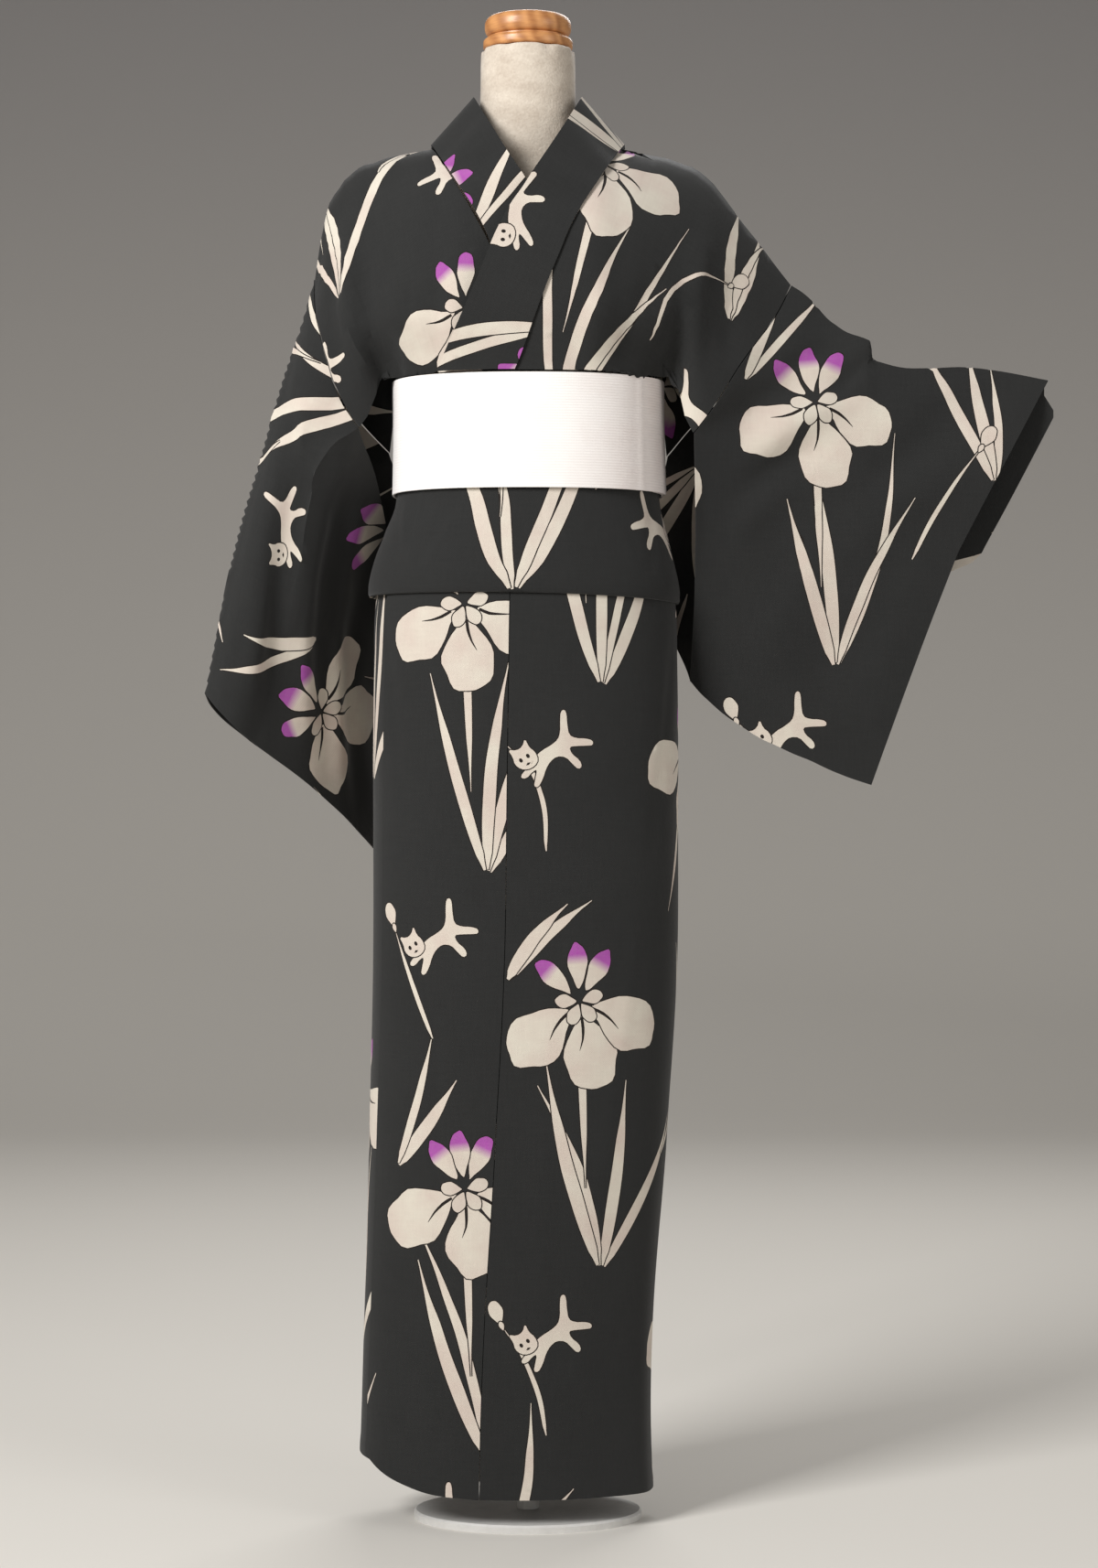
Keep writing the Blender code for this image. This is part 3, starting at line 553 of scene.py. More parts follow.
def patchAt(layout, place):
    rows, columns = layout.shape[:2]
    row = np.clip(np.floor(place[:, 0]), 0, rows - 2).astype(int)
    column = np.clip(np.floor(place[:, 1]), 0, columns - 2).astype(int)
    down = (place[:, 0] - row)[:, None]
    side = (place[:, 1] - column)[:, None]
    a, b = layout[row, column], layout[row, column + 1]
    c, d = layout[row + 1, column], layout[row + 1, column + 1]
    at = (a * (1 - side) + b * side) * (1 - down) + (c * (1 - side) + d * side) * down
    return at, (c - a) * (1 - side) + (d - b) * side, (b - a) * (1 - down) + (d - c) * down


def surfaceAt(grid, place):
    # a smooth point of the cloth between its grid points
    wide = np.concatenate([2 * grid[:1] - grid[1:2], grid, 2 * grid[-1:] - grid[-2:-1]])
    wide = np.concatenate([2 * wide[:, :1] - wide[:, 1:2], wide, 2 * wide[:, -1:] - wide[:, -2:-1]], axis=1)
    place = np.clip(place, 0, np.array(grid.shape[:2]) - 1)
    cell = np.minimum(np.floor(place).astype(int), np.array(grid.shape[:2]) - 2)
    part = place - cell
    weights = []
    for t in (part[:, 0], part[:, 1]):
        weights.append(np.stack([-t + 2 * t**2 - t**3, 2 - 5 * t**2 + 3 * t**3,
                                 t + 4 * t**2 - 3 * t**3, -t**2 + t**3], axis=-1) / 2)
    total = 0
    for i in range(4):
        for j in range(4):
            weight = (weights[0][:, i] * weights[1][:, j])[:, None]
            total = total + weight * wide[cell[:, 0] + i, cell[:, 1] + j]
    return total


def widened(outline, reach):
    # the outline moved outwards all round
    before, after = np.roll(outline, 1, axis=0), np.roll(outline, -1, axis=0)
    run = after - before
    out = np.stack([run[:, 1], -run[:, 0]], axis=-1)
    out /= np.maximum(np.linalg.norm(out, axis=1, keepdims=True), 1e-6)
    return outline + out * reach


def anticlockwise(outline):
    x, y = outline[:, 0], outline[:, 1]
    area = np.sum(x * np.roll(y, -1) - np.roll(x, -1) * y)
    return outline if area > 0 else outline[::-1]


# each shape is (outline, pale share, magenta at the root, magenta at the tip, root, tip)
def inked(outline, tone=1.0, magenta=(0, 0), root=(0, 0), tip=(0, 1)):
    outline = anticlockwise(np.asarray(outline, float))
    return [(widened(outline, 1.1), -1.0, (0, 0), root, tip), (outline, tone, magenta, root, tip)]


def bladeShape(points, width, tone=1.0, magenta=(0, 0), blunt=0.0):
    points = np.asarray(points, float)
    line = lineThrough(points, np.linspace(0, 1, 26))
    run = np.gradient(line, axis=0)
    out = np.stack([run[:, 1], -run[:, 0]], axis=-1)
    out /= np.maximum(np.linalg.norm(out, axis=1, keepdims=True), 1e-6)
    part = np.linspace(0, 1, 26)
    half = width / 2 * (0.45 + 0.55 * np.sin(np.pi * np.clip(part * 1.15, 0, 1) ** 0.8))
    half *= np.clip((1 - part) / 0.30, 0.10 + blunt, 1) ** 0.8
    half *= np.clip(part / 0.08, 0.25, 1) ** 0.5
    side = out * half[:, None]
    return inked(np.concatenate([line + side, (line - side)[::-1]]), tone, magenta, points[0], points[-1])


def petalShape(root, tip, width, tone=1.0, magenta=(0, 0), ripple=0.05, phase=0.0, slit=True):
    root, tip = np.asarray(root, float), np.asarray(tip, float)
    run = tip - root
    length = np.linalg.norm(run)
    along = run / length
    across = np.array([-along[1], along[0]])
    turn = np.linspace(0, 2 * np.pi, 32, endpoint=False)
    reach = 1 + ripple * np.cos(5 * turn + phase) + ripple * 0.5 * np.cos(8 * turn + 2 * phase)
    forward = 0.5 - 0.5 * np.cos(turn) * reach
    sideways = np.sin(turn) * reach * (0.30 + 0.70 * np.clip(forward / 0.55, 0, 1) ** 0.8)
    outline = root + np.outer(forward * length, along) + np.outer(sideways * width / 2, across)
    shapes = inked(outline, tone, magenta, root, tip)
    if slit:
        bend = (1 if math.sin(phase * 3 + 1) > 0 else -1) * width
        marks = [root + along * length * 0.04 + across * bend * 0.02,
                 root + along * length * 0.25 + across * bend * 0.05,
                 root + along * length * 0.46 + across * bend * 0.17]
        line = lineThrough(marks, np.linspace(0, 1, 7))
        wide = np.outer(np.array([1.3, 1.5, 1.5, 1.3, 1.0, 0.7, 0.25]), across)
        outline = anticlockwise(np.concatenate([line + wide, (line - wide)[::-1]]))
        shapes.append((outline, -1.0, (0, 0), root, tip))
    return shapes


def budShape(root, tip, width):
    root, tip = np.asarray(root, float), np.asarray(tip, float)
    return (petalShape(root, tip, width, 1.0, (0, 0), 0.015, 0.6, False)
            + petalShape(root + (root - tip) * 0.25, root + (tip - root) * 0.12,
                         width * 0.34, 1.0, (0, 0), 0, 0, False))


# a leaping kitten in its own unit square: body with legs and tail, then the head with two ears
kittenBody = [(-0.45, 0.22), (-0.20, 0.26), (0.05, 0.24), (0.28, 0.26), (0.44, 0.40), (0.58, 0.62), (0.72, 0.80),
              (0.82, 0.78), (0.80, 0.66), (0.68, 0.46), (0.56, 0.20), (0.66, 0.04), (0.86, -0.10), (0.98, -0.24),
              (0.92, -0.34), (0.78, -0.26), (0.56, -0.12), (0.40, -0.04), (0.36, -0.22), (0.44, -0.46), (0.40, -0.62),
              (0.28, -0.62), (0.24, -0.44), (0.20, -0.20), (0.02, -0.06), (-0.18, -0.08), (-0.36, -0.16),
              (-0.58, -0.34), (-0.78, -0.44), (-0.86, -0.36), (-0.74, -0.24), (-0.56, -0.06), (-0.66, -0.04),
              (-0.90, -0.10), (-1.0, -0.02), (-0.92, 0.06), (-0.66, 0.10)]
kittenHead = [(-0.40, 0.12), (-0.36, 0.34), (-0.42, 0.50), (-0.38, 0.74), (-0.54, 0.60), (-0.72, 0.60), (-0.88, 0.74),
              (-0.88, 0.50), (-0.94, 0.34), (-0.88, 0.16), (-0.74, 0.06), (-0.56, 0.04)]


def kittenShape(centre, size, turn, flip):
    angle = math.radians(turn)
    spin = np.array([[math.cos(angle), math.sin(angle)], [-math.sin(angle), math.cos(angle)]])

    def place(points):
        return np.asarray(points, float) * (size / 2 * flip, size / 2) @ spin + centre

    shapes = inked(place(rounded(np.array(kittenBody)))) + inked(place(rounded(np.array(kittenHead))))
    for eyeX in (-0.56, -0.76):
        dot = [(eyeX + 0.045 * math.cos(t), 0.34 + 0.06 * math.sin(t)) for t in np.linspace(0, 6.28, 9)[:-1]]
        shapes.append((anticlockwise(place(dot)), -1.0, (0, 0), (0, 0), (0, 1)))
    mouth = [(-0.73, 0.17), (-0.66, 0.21), (-0.59, 0.17), (-0.66, 0.145)]
    shapes.append((anticlockwise(place(mouth)), -1.0, (0, 0), (0, 0), (0, 1)))
    return shapes


def rounded(outline):
    # cuts each corner once, so that the outline runs soft
    after = np.roll(outline, -1, axis=0)
    return np.stack([outline * 0.75 + after * 0.25, outline * 0.25 + after * 0.75], axis=1).reshape(-1, 2)


# the print, drawn on one repeat of a bolt of cloth: sizes in millimetres, turns in degrees
boltSet = {"width": 330, "length": 560, "petal": 0.74, "leaf": 12, "stem": 4.5, "bud": 14, "kitten": 78}
boltRepeat = [
    ("leaves", (112, 190), 86, 235, 4), ("leaves", (268, 372), 102, 190, 3), ("leaves", (20, 470), 60, 150, 2),
    ("bud", (186, 300), 58, 130, 0), ("bud", (58, 36), 112, 115, 0),
    ("flower", (90, 452), 8, 78, 0), ("flower", (246, 128), -14, 70, 0),
    ("kitten", (258, 262), -20, -1, 0), ("kitten", (66, 128), 34, 1, 0)]


def heading(degrees):
    return np.array([math.cos(math.radians(degrees)), math.sin(math.radians(degrees))])


def leafMotifs(place, turn, size, count, chance):
    motifs = []
    for number in range(count):
        way = heading(turn + (number - (count - 1) / 2) * 17 + chance.uniform(-4, 4))
        aside = np.array([-way[1], way[0]]) * chance.uniform(-0.24, 0.24)
        length = size * chance.uniform(0.6, 1.05)
        line = [place + (way * part + aside * part ** 2) * length for part in (0.04, 0.36, 0.70, 1.0)]
        motifs.append(("blade", boltSet["leaf"] * chance.uniform(0.6, 1.1), line))
    return motifs


def budMotifs(place, turn, size, chance):
    way = heading(turn)
    aside = np.array([-way[1], way[0]]) * size * chance.uniform(-0.2, 0.2)
    line = [place, place + way * size * 0.5 + aside, place + way * size]
    return [("blade", boltSet["stem"], line), ("bud", boltSet["bud"], [line[2], line[2] + way * 24])]


def flowerMotifs(place, turn, size, chance):
    # an iris: three broad falls, three upright tinted petals and a few small ones at the heart
    motifs = [("blade", boltSet["stem"] + 3, [place + heading(turn - 96) * size * part for part in (0.2, 1.3, 2.3)])]
    for angle in (-152, -90, -28):
        way = heading(turn + angle + chance.uniform(-8, 8))
        length = size * chance.uniform(0.88, 1.08)
        motifs.append(("petal", length * boltSet["petal"], [place + way * 12, place + way * (12 + length)]))
    for angle in (56, 90, 124):
        way = heading(turn + angle + chance.uniform(-6, 6))
        motifs.append(("tint", size * 0.25, [place + way * 12, place + way * size * 0.72]))
    for angle in (-60, -120, 10, 170):
        way = heading(turn + angle)
        motifs.append(("small", size * 0.17, [place + way * 3, place + way * size * 0.30]))
    return motifs


def boltPrint(flat, start, seed):
    # the repeats that reach over one sheet, each column dropped by half a repeat
    chance = np.random.default_rng(seed)
    low = flat.reshape(-1, 2).min(axis=0) - 60
    high = flat.reshape(-1, 2).max(axis=0) + 60
    step = np.array([boltSet["width"], boltSet["length"]])
    motifs = []
    first = np.floor((low - start) / step).astype(int) - 1
    last = np.ceil((high - start) / step).astype(int) + 1
    for column in range(first[0], last[0]):
        for row in range(first[1], last[1]):
            corner = np.array(start) + step * (column, row + 0.5 * (column % 2))
            for kind, spot, turn, size, count in boltRepeat:
                place = corner + spot
                if kind == "leaves":
                    motifs += leafMotifs(place, turn, size, count, chance)
                elif kind == "bud":
                    motifs += budMotifs(place, turn, size, chance)
                elif kind == "flower":
                    motifs += flowerMotifs(place, turn, size, chance)
                else:
                    motifs.append(("kitten", boltSet["kitten"], turn, size, [place]))
    reach = 0.6 * boltSet["kitten"]
    near = [m for m in motifs if all(np.max(m[-1], axis=0) + reach > low) and all(np.min(m[-1], axis=0) - reach < high)]
    return drawMotifs(near)


def drawMotifs(motifs):
    shapes = []
    for number, (kind, *sizes, points) in enumerate(motifs):
        if kind == "blade":
            shapes += bladeShape(np.array(points), sizes[0])
        elif kind == "petal":
            shapes += petalShape(points[0], points[1], sizes[0], 1.0, (0, 0), 0.045, number * 1.7)
        elif kind == "small":
            shapes += petalShape(points[0], points[1], sizes[0], 0.96, (0, 0), 0.02, number, False)
        elif kind == "tint":
            shapes += petalShape(points[0], points[1], sizes[0], 0.98, (-1.0, 1.35), 0.04, number, False)
        elif kind == "bud":
            shapes += budShape(points[0], points[1], sizes[0])
        else:
            shapes += kittenShape(points[0], *sizes)
    return shapes


def printedMesh(name, grid, flat, shapes):
    rows, columns = flat.shape[:2]
    index = np.arange(rows * columns).reshape(rows, columns)
    rim = np.concatenate([index[0], index[1:, -1], index[-1, -2::-1], index[-2:0:-1, 0]])
    points = flat.reshape(-1, 2)
    if not np.array_equal(anticlockwise(points[rim]), points[rim]):
        rim = rim[::-1]
    coords = [tuple(point) for point in points]
    outlines = [rim.tolist()]
    for outline, *rest in shapes:
        outlines.append(list(range(len(coords), len(coords) + len(outline))))
        coords += [tuple(point) for point in outline]
    made = delaunay_2d_cdt([Vector(c) for c in coords], [], outlines, 1, 1e-3)
    verts, faces, fromVerts, fromFaces = made[0], made[2], made[3], made[5]
    keep = [number for number, owners in enumerate(fromFaces) if 0 in owners]
    used = sorted({v for number in keep for v in faces[number]})
    renumber = {v: new for new, v in enumerate(used)}
    places = np.array([verts[v][:2] for v in used])
    owners = np.array([min([o for o in fromVerts[v] if o < rows * columns], default=-1) for v in used])
    spots = np.zeros((len(used), 3))
    known = owners >= 0
    spots[known] = grid.reshape(-1, 3)[owners[known]]
    if (~known).any():
        spots[~known] = surfaceAt(grid, locate(flat, places[~known]))
    mesh = bpy.data.meshes.new(name)
    mesh.from_pydata((spots * mm).tolist(), [], [[renumber[v] for v in faces[number]] for number in keep])
    loopVerts = np.empty(len(mesh.loops), int)
    mesh.loops.foreach_get("vertex_index", loopVerts)
    tone = np.zeros((len(mesh.loops), 4))
    start = 0
    for number in keep:
        size = len(faces[number])
        topmost = max(fromFaces[number])
        if topmost > 0:
            outline, pale, magenta, root, tip = shapes[topmost - 1]
            root, run = np.asarray(root, float), np.asarray(tip, float) - root
            part = np.clip((places[loopVerts[start:start + size]] - root) @ run / max(run @ run, 1e-9), 0, 1)
            tone[start:start + size, 0] = max(pale, 0)
            tone[start:start + size, 1] = np.clip(magenta[0] + (magenta[1] - magenta[0]) * part, 0, 1)
            tone[start:start + size, 2] = float(pale < 0)
        start += size
    layer = mesh.color_attributes.new("print", "FLOAT_COLOR", "CORNER")
    tone[:, 3] = 1
    layer.data.foreach_set("color", tone.ravel())
    weave = mesh.uv_layers.new(name="weave")
    weave.data.foreach_set("uv", (places[loopVerts] * mm).ravel())
    return mesh


class Value:
    # one output of a shader node, so that sums can be written out plainly
    def __init__(self, tree, socket):
        self.tree = tree
        self.socket = socket

    def node(self, kind, settings=None, **inputs):
        made = self.tree.nodes.new(kind)
        for name, value in (settings or {}).items():
            setattr(made, name, value)
        for name, value in inputs.items():
            numbered = name[0] == "i" and name[1:].isdigit()
            self.put(made.inputs[int(name[1:]) if numbered else name.replace("_", " ")], value)
        return made

    def put(self, socket, value):
        if isinstance(value, Value):
            self.tree.links.new(value.socket, socket)
        else:
            socket.default_value = value

    def maths(self, operation, a, b=0.0, clamp=False):
        made = self.node("ShaderNodeMath", {"operation": operation, "use_clamp": clamp}, i0=a, i1=b)
        return Value(self.tree, made.outputs[0])

    def __add__(self, other):
        return self.maths("ADD", self, other)

    def __mul__(self, other):
        return self.maths("MULTIPLY", self, other)

    def __sub__(self, other):
        return self.maths("SUBTRACT", self, other)

    def __rsub__(self, other):
        return self.maths("SUBTRACT", other, self)

    def __pow__(self, other):
        return self.maths("POWER", self, other)

    __radd__ = __add__
    __rmul__ = __mul__

    def between(self, low, high):
        made = self.node("ShaderNodeMapRange", {"clamp": True}, Value=self, From_Min=low, From_Max=high)
        return Value(self.tree, made.outputs[0])

    def mixed(self, first, second):
        # this value is the share of the second colour
        made = self.node("ShaderNodeMix", {"data_type": "RGBA"}, i0=self, i6=first, i7=second)
        return Value(self.tree, made.outputs[2])


class Paint:
    def __init__(self, name, **fixed):
        self.material = bpy.data.materials.new(name)
        self.material.use_nodes = True
        self.tree = self.material.node_tree
        self.shader = self.tree.nodes["Principled BSDF"]
        for key, value in fixed.items():
            self.shader.inputs[key.replace("_", " ")].default_value = value
        self.maker = Value(self.tree, None)

    def coordinates(self, kind):
        return Value(self.tree, self.maker.node("ShaderNodeTexCoord").outputs[kind])

    def stretched(self, vector, scale):
        made = self.maker.node("ShaderNodeVectorMath", {"operation": "MULTIPLY"}, i0=vector, i1=scale)
        return Value(self.tree, made.outputs[0])

    def noise(self, vector, scale, detail=3.0, rough=0.55):
        made = self.maker.node("ShaderNodeTexNoise", None, Vector=vector, Scale=scale, Detail=detail, Roughness=rough)
        return Value(self.tree, made.outputs[0])

    def parts(self, vector):
        made = self.maker.node("ShaderNodeSeparateXYZ", None, Vector=vector)
        return [Value(self.tree, output) for output in made.outputs]

    def colours(self, name):
        made = self.maker.node("ShaderNodeAttribute", {"attribute_name": name})
        split = self.maker.node("ShaderNodeSeparateColor", None, Color=Value(self.tree, made.outputs["Color"]))
        return [Value(self.tree, output) for output in split.outputs]

    def bump(self, height, strength, distance, under=None):
        settings = {"Height": height, "Strength": strength, "Distance": distance}
        if under is not None:
            settings["Normal"] = under
        made = self.maker.node("ShaderNodeBump", None, **settings)
        return Value(self.tree, made.outputs[0])

    def finish(self, colour=None, roughness=None, normal=None):
        for name, value in (("Base Color", colour), ("Roughness", roughness), ("Normal", normal)):
            if value is not None:
                self.maker.put(self.shader.inputs[name], value)
        return self.material


def weaveHeight(paint, cloth, pitch, slub):
    # over and under threads, uneven in thickness
    across, along, depth = paint.parts(cloth)
    uneven = paint.noise(paint.stretched(cloth, (40.0, 400.0, 1.0)), 1.0, 2.0)
    other = paint.noise(paint.stretched(cloth, (400.0, 40.0, 1.0)), 1.0, 2.0)
    turn = 2 * math.pi / pitch
    warp = (across * turn).maths("SINE", across * turn + uneven * slub)
    weft = along.maths("SINE", along * turn + other * slub)
    return warp * weft, uneven, other


cottonSet = {"charcoal": (0.012, 0.0122, 0.0118, 1), "worn": (0.024, 0.024, 0.0232, 1), "ink": (0.012, 0.008, 0.006, 1),
             "pale": (0.68, 0.625, 0.53, 1), "pink": (0.62, 0.52, 0.45, 1), "magenta": (0.44, 0.085, 0.43, 1),
             "deep": (0.29, 0.045, 0.29, 1), "pitch": 0.0016, "slub": 3.0}


def cottonPaint(name="cotton"):
    paint = Paint(name, Sheen_Weight=0.12, Sheen_Roughness=0.5, Specular_IOR_Level=0.25)
    cloth = paint.coordinates("UV")
    place = paint.coordinates("Object")
    thread, uneven, other = weaveHeight(paint, cloth, cottonSet["pitch"], cottonSet["slub"])
    broad = paint.noise(place, 9.0, 3.0)
    fine = paint.noise(place, 900.0, 2.0)
    wear = (broad * 0.55 + uneven * 0.3 + other * 0.3 + fine * 0.25 - 0.4).between(0.0, 0.75)
    ground = wear.mixed(cottonSet["charcoal"], cottonSet["worn"])
    dye = paint.noise(place, 22.0, 3.0)
    pale = dye.between(0.36, 0.68).mixed(cottonSet["pale"], cottonSet["pink"])
    magenta = paint.noise(place, 60.0, 2.0).mixed(cottonSet["magenta"], cottonSet["deep"])
    paleShare, magentaShare, inkShare = paint.colours("print")
    printed = (magentaShare.between(0.25, 0.75)).mixed(pale, magenta)
    shaded = (uneven * 0.5 + other * 0.5).between(0.25, 0.75) * 0.16
    printed = shaded.mixed(printed, (0.36, 0.31, 0.26, 1))
    colour = paleShare.mixed(inkShare.mixed(ground, cottonSet["ink"]), printed)
    rough = 0.80 + broad * 0.12
    under = paint.bump(paint.noise(place, 70.0, 3.0), 0.10, 0.0016)
    normal = paint.bump(thread + fine * 0.6, 0.30, 0.0003, under)
    return paint.finish(colour, rough, normal)


beltSet = {"white": (0.93, 0.90, 0.87, 1), "shade": (0.80, 0.70, 0.66, 1), "rib": 0.0026}


def beltPaint():
    paint = Paint("belt", Sheen_Weight=0.2, Sheen_Roughness=0.4, Specular_IOR_Level=0.3)
    cloth = paint.coordinates("UV")
    place = paint.coordinates("Object")
    across, along, depth = paint.parts(cloth)
    rib = along.maths("SINE", along * (2 * math.pi / beltSet["rib"]))
    thread = across.maths("SINE", across * (2 * math.pi / 0.0014))
    right = paint.parts(place)[0]
    # painted shade: the belt is painted darker and pinker towards its right end, from x 0.03 m to 0.14 m; random
    # blotches add a little uneven tone
    rightShadeAndBlotches = (right.between(0.03, 0.14) * 0.8 + paint.noise(place, 30.0, 3.0).between(0.4, 0.75) * 0.25)
    colour = rightShadeAndBlotches.mixed(beltSet["white"], beltSet["shade"])
    rough = 0.70 + paint.noise(place, 120.0) * 0.15
    under = paint.bump(paint.noise(place, 45.0), 0.10, 0.002)
    return paint.finish(colour, rough, paint.bump(rib * 0.8 + thread * 0.3, 0.35, 0.0003, under))


velvetSet = {"cream": (0.70, 0.62, 0.52, 1), "rubbed": (0.50, 0.42, 0.34, 1)}


def velvetPaint():
    paint = Paint("velvet", Sheen_Weight=0.6, Sheen_Roughness=0.35, Specular_IOR_Level=0.2)
    place = paint.coordinates("Object")
    broad = paint.noise(paint.stretched(place, (1.0, 1.0, 1.7)), 38.0, 5.0, 0.65)
    fine = paint.noise(place, 420.0, 2.0)
    colour = (broad * 0.8 + fine * 0.35).between(0.38, 0.78).mixed(velvetSet["cream"], velvetSet["rubbed"])
    return paint.finish(colour, 0.82 + broad * 0.12, paint.bump(broad + fine * 0.7, 0.5, 0.0012))


woodSet = {"light": (0.66, 0.31, 0.11, 1), "dark": (0.36, 0.135, 0.04, 1)}


def woodPaint():
    paint = Paint("wood", Coat_Weight=0.25, Coat_Roughness=0.25)
    place = paint.coordinates("Object")
    bent = paint.noise(place, 14.0, 3.0) * 0.05
    across, along, up = paint.parts(place)
    rings = (across * 6.0 + along * 2.0 + bent * 9.0).maths("SINE", (across * 1.0 + up * 0.35 + bent) * 420.0)
    grain = paint.noise(paint.stretched(place, (1.0, 1.0, 7.0)), 90.0, 4.0)
    colour = (rings * 0.22 + grain * 0.7).between(0.05, 0.75).mixed(woodSet["light"], woodSet["dark"])
    return paint.finish(colour, 0.34 + grain * 0.22, paint.bump(grain + rings * 0.3, 0.18, 0.0006))


def steelPaint():
    # steel under pale enamel
    paint = Paint("steel", Coat_Weight=0.2, Coat_Roughness=0.3)
    place = paint.coordinates("Object")
    worn = paint.noise(place, 60.0, 4.0)
    colour = worn.between(0.4, 0.8).mixed((0.66, 0.645, 0.615, 1), (0.56, 0.545, 0.52, 1))
    return paint.finish(colour, 0.42 + worn * 0.2, paint.bump(paint.noise(place, 500.0), 0.06, 0.0003))


cotton = cottonPaint()
beltCloth = beltPaint()
velvet = velvetPaint()
wood = woodPaint()
steel = steelPaint()
print("materials made")


def clothPiece(name, grid, flat, shapes, node, thick=None, paint=None):
    mesh = printedMesh(name, grid, flat, shapes)
    piece = bpy.data.objects.new(name, mesh)
    bpy.context.collection.objects.link(piece)
    mesh.materials.append(paint or cotton)
    bpy.ops.object.select_all(action="DESELECT")
    bpy.context.view_layer.objects.active = piece
    piece.select_set(True)
    solid = piece.modifiers.new("thickness", "SOLIDIFY")
    solid.thickness = (thick or form["cloth"]) * mm
    solid.offset = 0
    bpy.ops.object.modifier_apply(modifier=solid.name)
    shell = bmesh.new()
    shell.from_mesh(piece.data)
    bmesh.ops.recalc_face_normals(shell, faces=shell.faces)
    shell.to_mesh(piece.data)
    shell.free()
    bpy.ops.object.shade_smooth_by_angle(angle=math.radians(50))
    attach(piece, "root")
    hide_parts(node)
    corners = flat.reshape(-1, 2)
    size = np.round((corners.max(axis=0) - corners.min(axis=0)) * mm, 3)
    a, b, c, d = flat[:-1, :-1], flat[:-1, 1:], flat[1:, 1:], flat[1:, :-1]
    cells = abs((c - a)[..., 0] * (d - b)[..., 1] - (c - a)[..., 1] * (d - b)[..., 0]) / 2
    print(name, len(piece.data.polygons), "faces,", [round(float(v), 3) for v in size], "m flat")
    return piece


# skirt
skirtSheets = {name: skirtSheet(name) for name in skirtPanels}
# where each panel starts on the bolt
boltStart = {"skirt_front_left": (-40, 60), "overlap_left": (-150, -120), "skirt_front_right": (30, 250),
             "overlap_right": (90, -80), "skirt_back_left": (-110, 180), "skirt_back_right": (60, -30)}
for number, (name, (grid, flat)) in enumerate(skirtSheets.items()):
    shapes = boltPrint(flat, boltStart[name], number + 1)
    clothPiece(name + "_cloth", grid, flat, shapes, name)

# waist fold and belt
grid, flat = foldSheet()
shapes = boltPrint(flat, (-120, 700), 11)
clothPiece("waist_fold_cloth", grid, flat, shapes, "waist_fold")
grid, flat = beltSheet()
clothPiece("belt_cloth", grid, flat, [], "belt", form["band"], beltCloth)

# upper body and sleeves
bodies = {"left": bodySheet("left", 0), "right": bodySheet("right", form["layer"])}
for side, (grid, flat) in bodies.items():
    shapes = boltPrint(flat, (-60, 830) if side == "left" else (-300, 1010), 12 if side == "left" else 13)
    clothPiece("bodice_" + side + "_cloth", grid, flat, shapes, "bodice_" + side)

grid, flat = collarSheet()
clothPiece("collar_cloth", grid, flat, boltPrint(flat, (30, -210), 14), "collar")

# soft creases of the sleeves: foot across, foot up, head across, head up, width, reach
sleeveCreases = {
    "left": [(196, 1068, 292, 1122, 15, 6.0), (212, 1036, 322, 1096, 14, -6.0), (204, 1000, 300, 1052, 13, 4.5),
             (200, 960, 262, 1010, 14, -3.6), (330, 1010, 470, 1092, 20, 5.0), (300, 940, 452, 1040, 24, -4.5),
             (250, 1120, 300, 1148, 10, 3.6), (262, 800, 380, 905, 26, 3.2), (232, 830, 300, 960, 20, -3.0),
             (340, 760, 402, 960, 20, -2.6), (300, 1100, 345, 1142, 9, 4.0), (380, 1075, 485, 1104, 13, 2.6)],
    "right": [(-200, 780, -168, 1120, 13, 5.0), (-226, 800, -196, 1060, 12, -4.2), (-160, 760, -150, 1060, 12, -4.6),
              (-128, 740, -140, 1080, 14, 4.8), (-100, 700, -118, 1020, 13, -4.4), (-72, 670, -92, 960, 13, 4.0),
              (-176, 1010, -150, 1130, 9, 3.0)]}
for side, hang, cuts, sign, start in (("left", leftHang, leftSleeve, 1, (190, 640)),
                                      ("right", rightHang, rightSleeve, -1, (-20, -330))):
    grid, flat = sleeveSheet(side, hang, cuts, bodies[side][0][:, -1], sign, sleeveCreases[side])
    shapes = boltPrint(flat, start, 15 if side == "left" else 16)
    clothPiece("sleeve_" + side + "_cloth", grid, flat, shapes, "sleeve_" + side)
print("cloth made")


def makeFloor():
    # a pale floor that sweeps up into the wall behind
    bpy.ops.mesh.primitive_plane_add(size=1, location=(0, 0, 0))
    floor = bpy.context.object
    floor.name = "floor"
    floor.data.transform(Matrix.Diagonal((24, 12, 1, 1)))
    floor.data.transform(Matrix.Translation((0, -2.5, 0)))
    bpy.ops.object.mode_set(mode="EDIT")
    bpy.ops.mesh.select_all(action="DESELECT")
    bpy.ops.object.mode_set(mode="OBJECT")
    for edge in floor.data.edges:
        edge.select = all(floor.data.vertices[v].co.y > 3 for v in edge.vertices)
    bpy.ops.object.mode_set(mode="EDIT")
    for step in range(12):
        angle = math.radians(90 * (step + 0.5) / 12)
        bpy.ops.mesh.extrude_region_move(TRANSFORM_OT_translate={
            "value": (0, 0.26 * math.cos(angle), 0.26 * math.sin(angle))})
    bpy.ops.mesh.extrude_region_move(TRANSFORM_OT_translate={"value": (0, 0, 8)})
    bpy.ops.object.mode_set(mode="OBJECT")
    bpy.ops.object.shade_smooth()
    paint = Paint("floor", Roughness=0.9, Specular_IOR_Level=0.1)
    place = paint.coordinates("Object")
    up = paint.parts(place)[2]
    # painted shade: the backdrop is painted darker with height, from 0.4 m up to 3 m
    colour = (up.between(0.4, 3.0)).mixed((0.68, 0.65, 0.60, 1), (0.34, 0.325, 0.32, 1))
    floor.data.materials.append(paint.finish(colour))


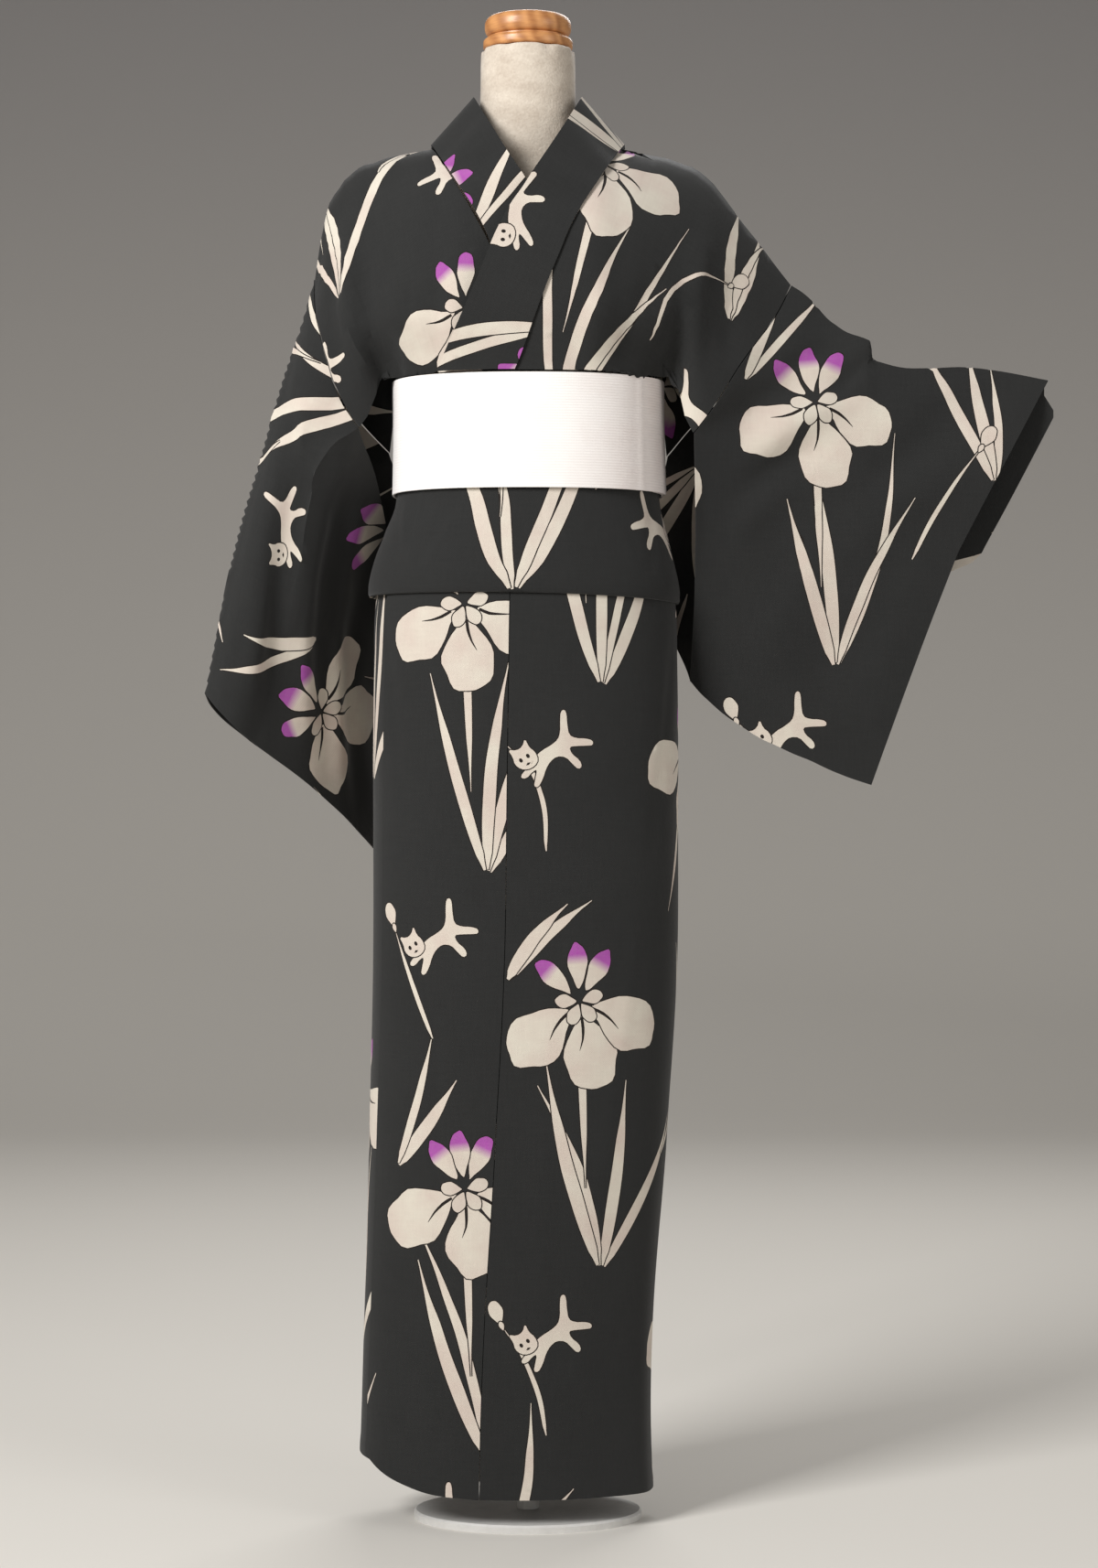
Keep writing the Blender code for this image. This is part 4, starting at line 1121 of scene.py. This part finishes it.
def makeLight(name, place, aim, size, power):
    data = bpy.data.lights.new(name, "AREA")
    data.shape = "RECTANGLE"
    data.size, data.size_y = size
    data.energy = power
    light = bpy.data.objects.new(name, data)
    light.location = place
    light.rotation_euler = (Vector(aim) - Vector(place)).to_track_quat("-Z", "Y").to_euler()
    bpy.context.collection.objects.link(light)


makeFloor()
makeLight("key", (-2.0, -2.3, 2.5), (0, 0, 0.9), (1.1, 1.5), 125)
makeLight("fill", (2.3, -1.9, 1.4), (0, 0, 0.8), (1.2, 1.8), 16)
makeLight("back", (0.5, 2.2, 2.8), (0, 0, 0.9), (2.0, 1.4), 40)
bpy.context.scene.view_settings.view_transform = "Standard"
world = bpy.data.worlds.new("room")
bpy.context.scene.world = world
world.use_nodes = True
world.node_tree.nodes["Background"].inputs["Color"].default_value = (0.50, 0.49, 0.48, 1)
world.node_tree.nodes["Background"].inputs["Strength"].default_value = 0.55


def smootherForm():
    # the padded form again, on the frame's own shape, with rounder sides
    bpy.ops.object.select_all(action="DESELECT")
    body = bpy.data.objects.new("form_body_velvet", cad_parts["form_body"].data.copy())
    bpy.context.collection.objects.link(body)
    bpy.context.view_layer.objects.active = body
    body.select_set(True)
    body.data.materials.clear()
    body.data.materials.append(velvet)
    bpy.ops.object.mode_set(mode="EDIT")
    bpy.ops.mesh.select_all(action="SELECT")
    bpy.ops.mesh.remove_doubles(threshold=0.0001)
    bpy.ops.mesh.tris_convert_to_quads(face_threshold=math.radians(60), shape_threshold=math.radians(60))
    bpy.ops.object.mode_set(mode="OBJECT")
    smoother = body.modifiers.new("rounding", "SUBSURF")
    smoother.levels = smoother.render_levels = 2
    bpy.ops.object.modifier_apply(modifier=smoother.name)
    bpy.ops.object.shade_smooth_by_angle(angle=math.radians(50))
    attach(body, "root")
    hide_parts("form_body")


capSet = {"low": 1441.9, "groove": 1453.6, "top": 1475.0, "depth": 0.93, "middle": 2.0,
          "lowRadius": 44.0, "highRadius": 42.5, "neckRadius": 40.0}


def turnedCap():
    # two turned tiers with a groove between them
    tiers = ((capSet["low"], capSet["groove"] - 1.2, capSet["lowRadius"], 3.2),
             (capSet["groove"] - 1.4, capSet["groove"] + 0.4, capSet["neckRadius"], 0.2),
             (capSet["groove"], capSet["top"], capSet["highRadius"], 9.0))
    made = []
    for low, high, radius, edge in tiers:
        bpy.ops.object.select_all(action="DESELECT")
        bpy.ops.mesh.primitive_cylinder_add(vertices=96, radius=radius * mm, depth=(high - low) * mm,
                                            location=(0, capSet["middle"] * mm, (low + high) / 2 * mm))
        tier = bpy.context.object
        tier.scale[1] = capSet["depth"]
        bpy.ops.object.transform_apply(location=True, rotation=True, scale=True)
        soft = tier.modifiers.new("edge", "BEVEL")
        soft.width = edge * mm
        soft.segments = 6
        soft.limit_method = "ANGLE"
        bpy.ops.object.modifier_apply(modifier=soft.name)
        made.append(tier)
    bpy.ops.object.select_all(action="DESELECT")
    for tier in made:
        tier.select_set(True)
    bpy.context.view_layer.objects.active = made[0]
    bpy.ops.object.join()
    cap = bpy.context.object
    cap.name = "form_cap_wood"
    cap.data.materials.append(wood)
    bpy.ops.object.shade_smooth_by_angle(angle=math.radians(40))
    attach(cap, "root")
    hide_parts("form_cap")


smootherForm()
turnedCap()
for node in ("form_pole", "form_base"):
    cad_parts[node].data.materials.clear()
    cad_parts[node].data.materials.append(steel)
print("dress form made")
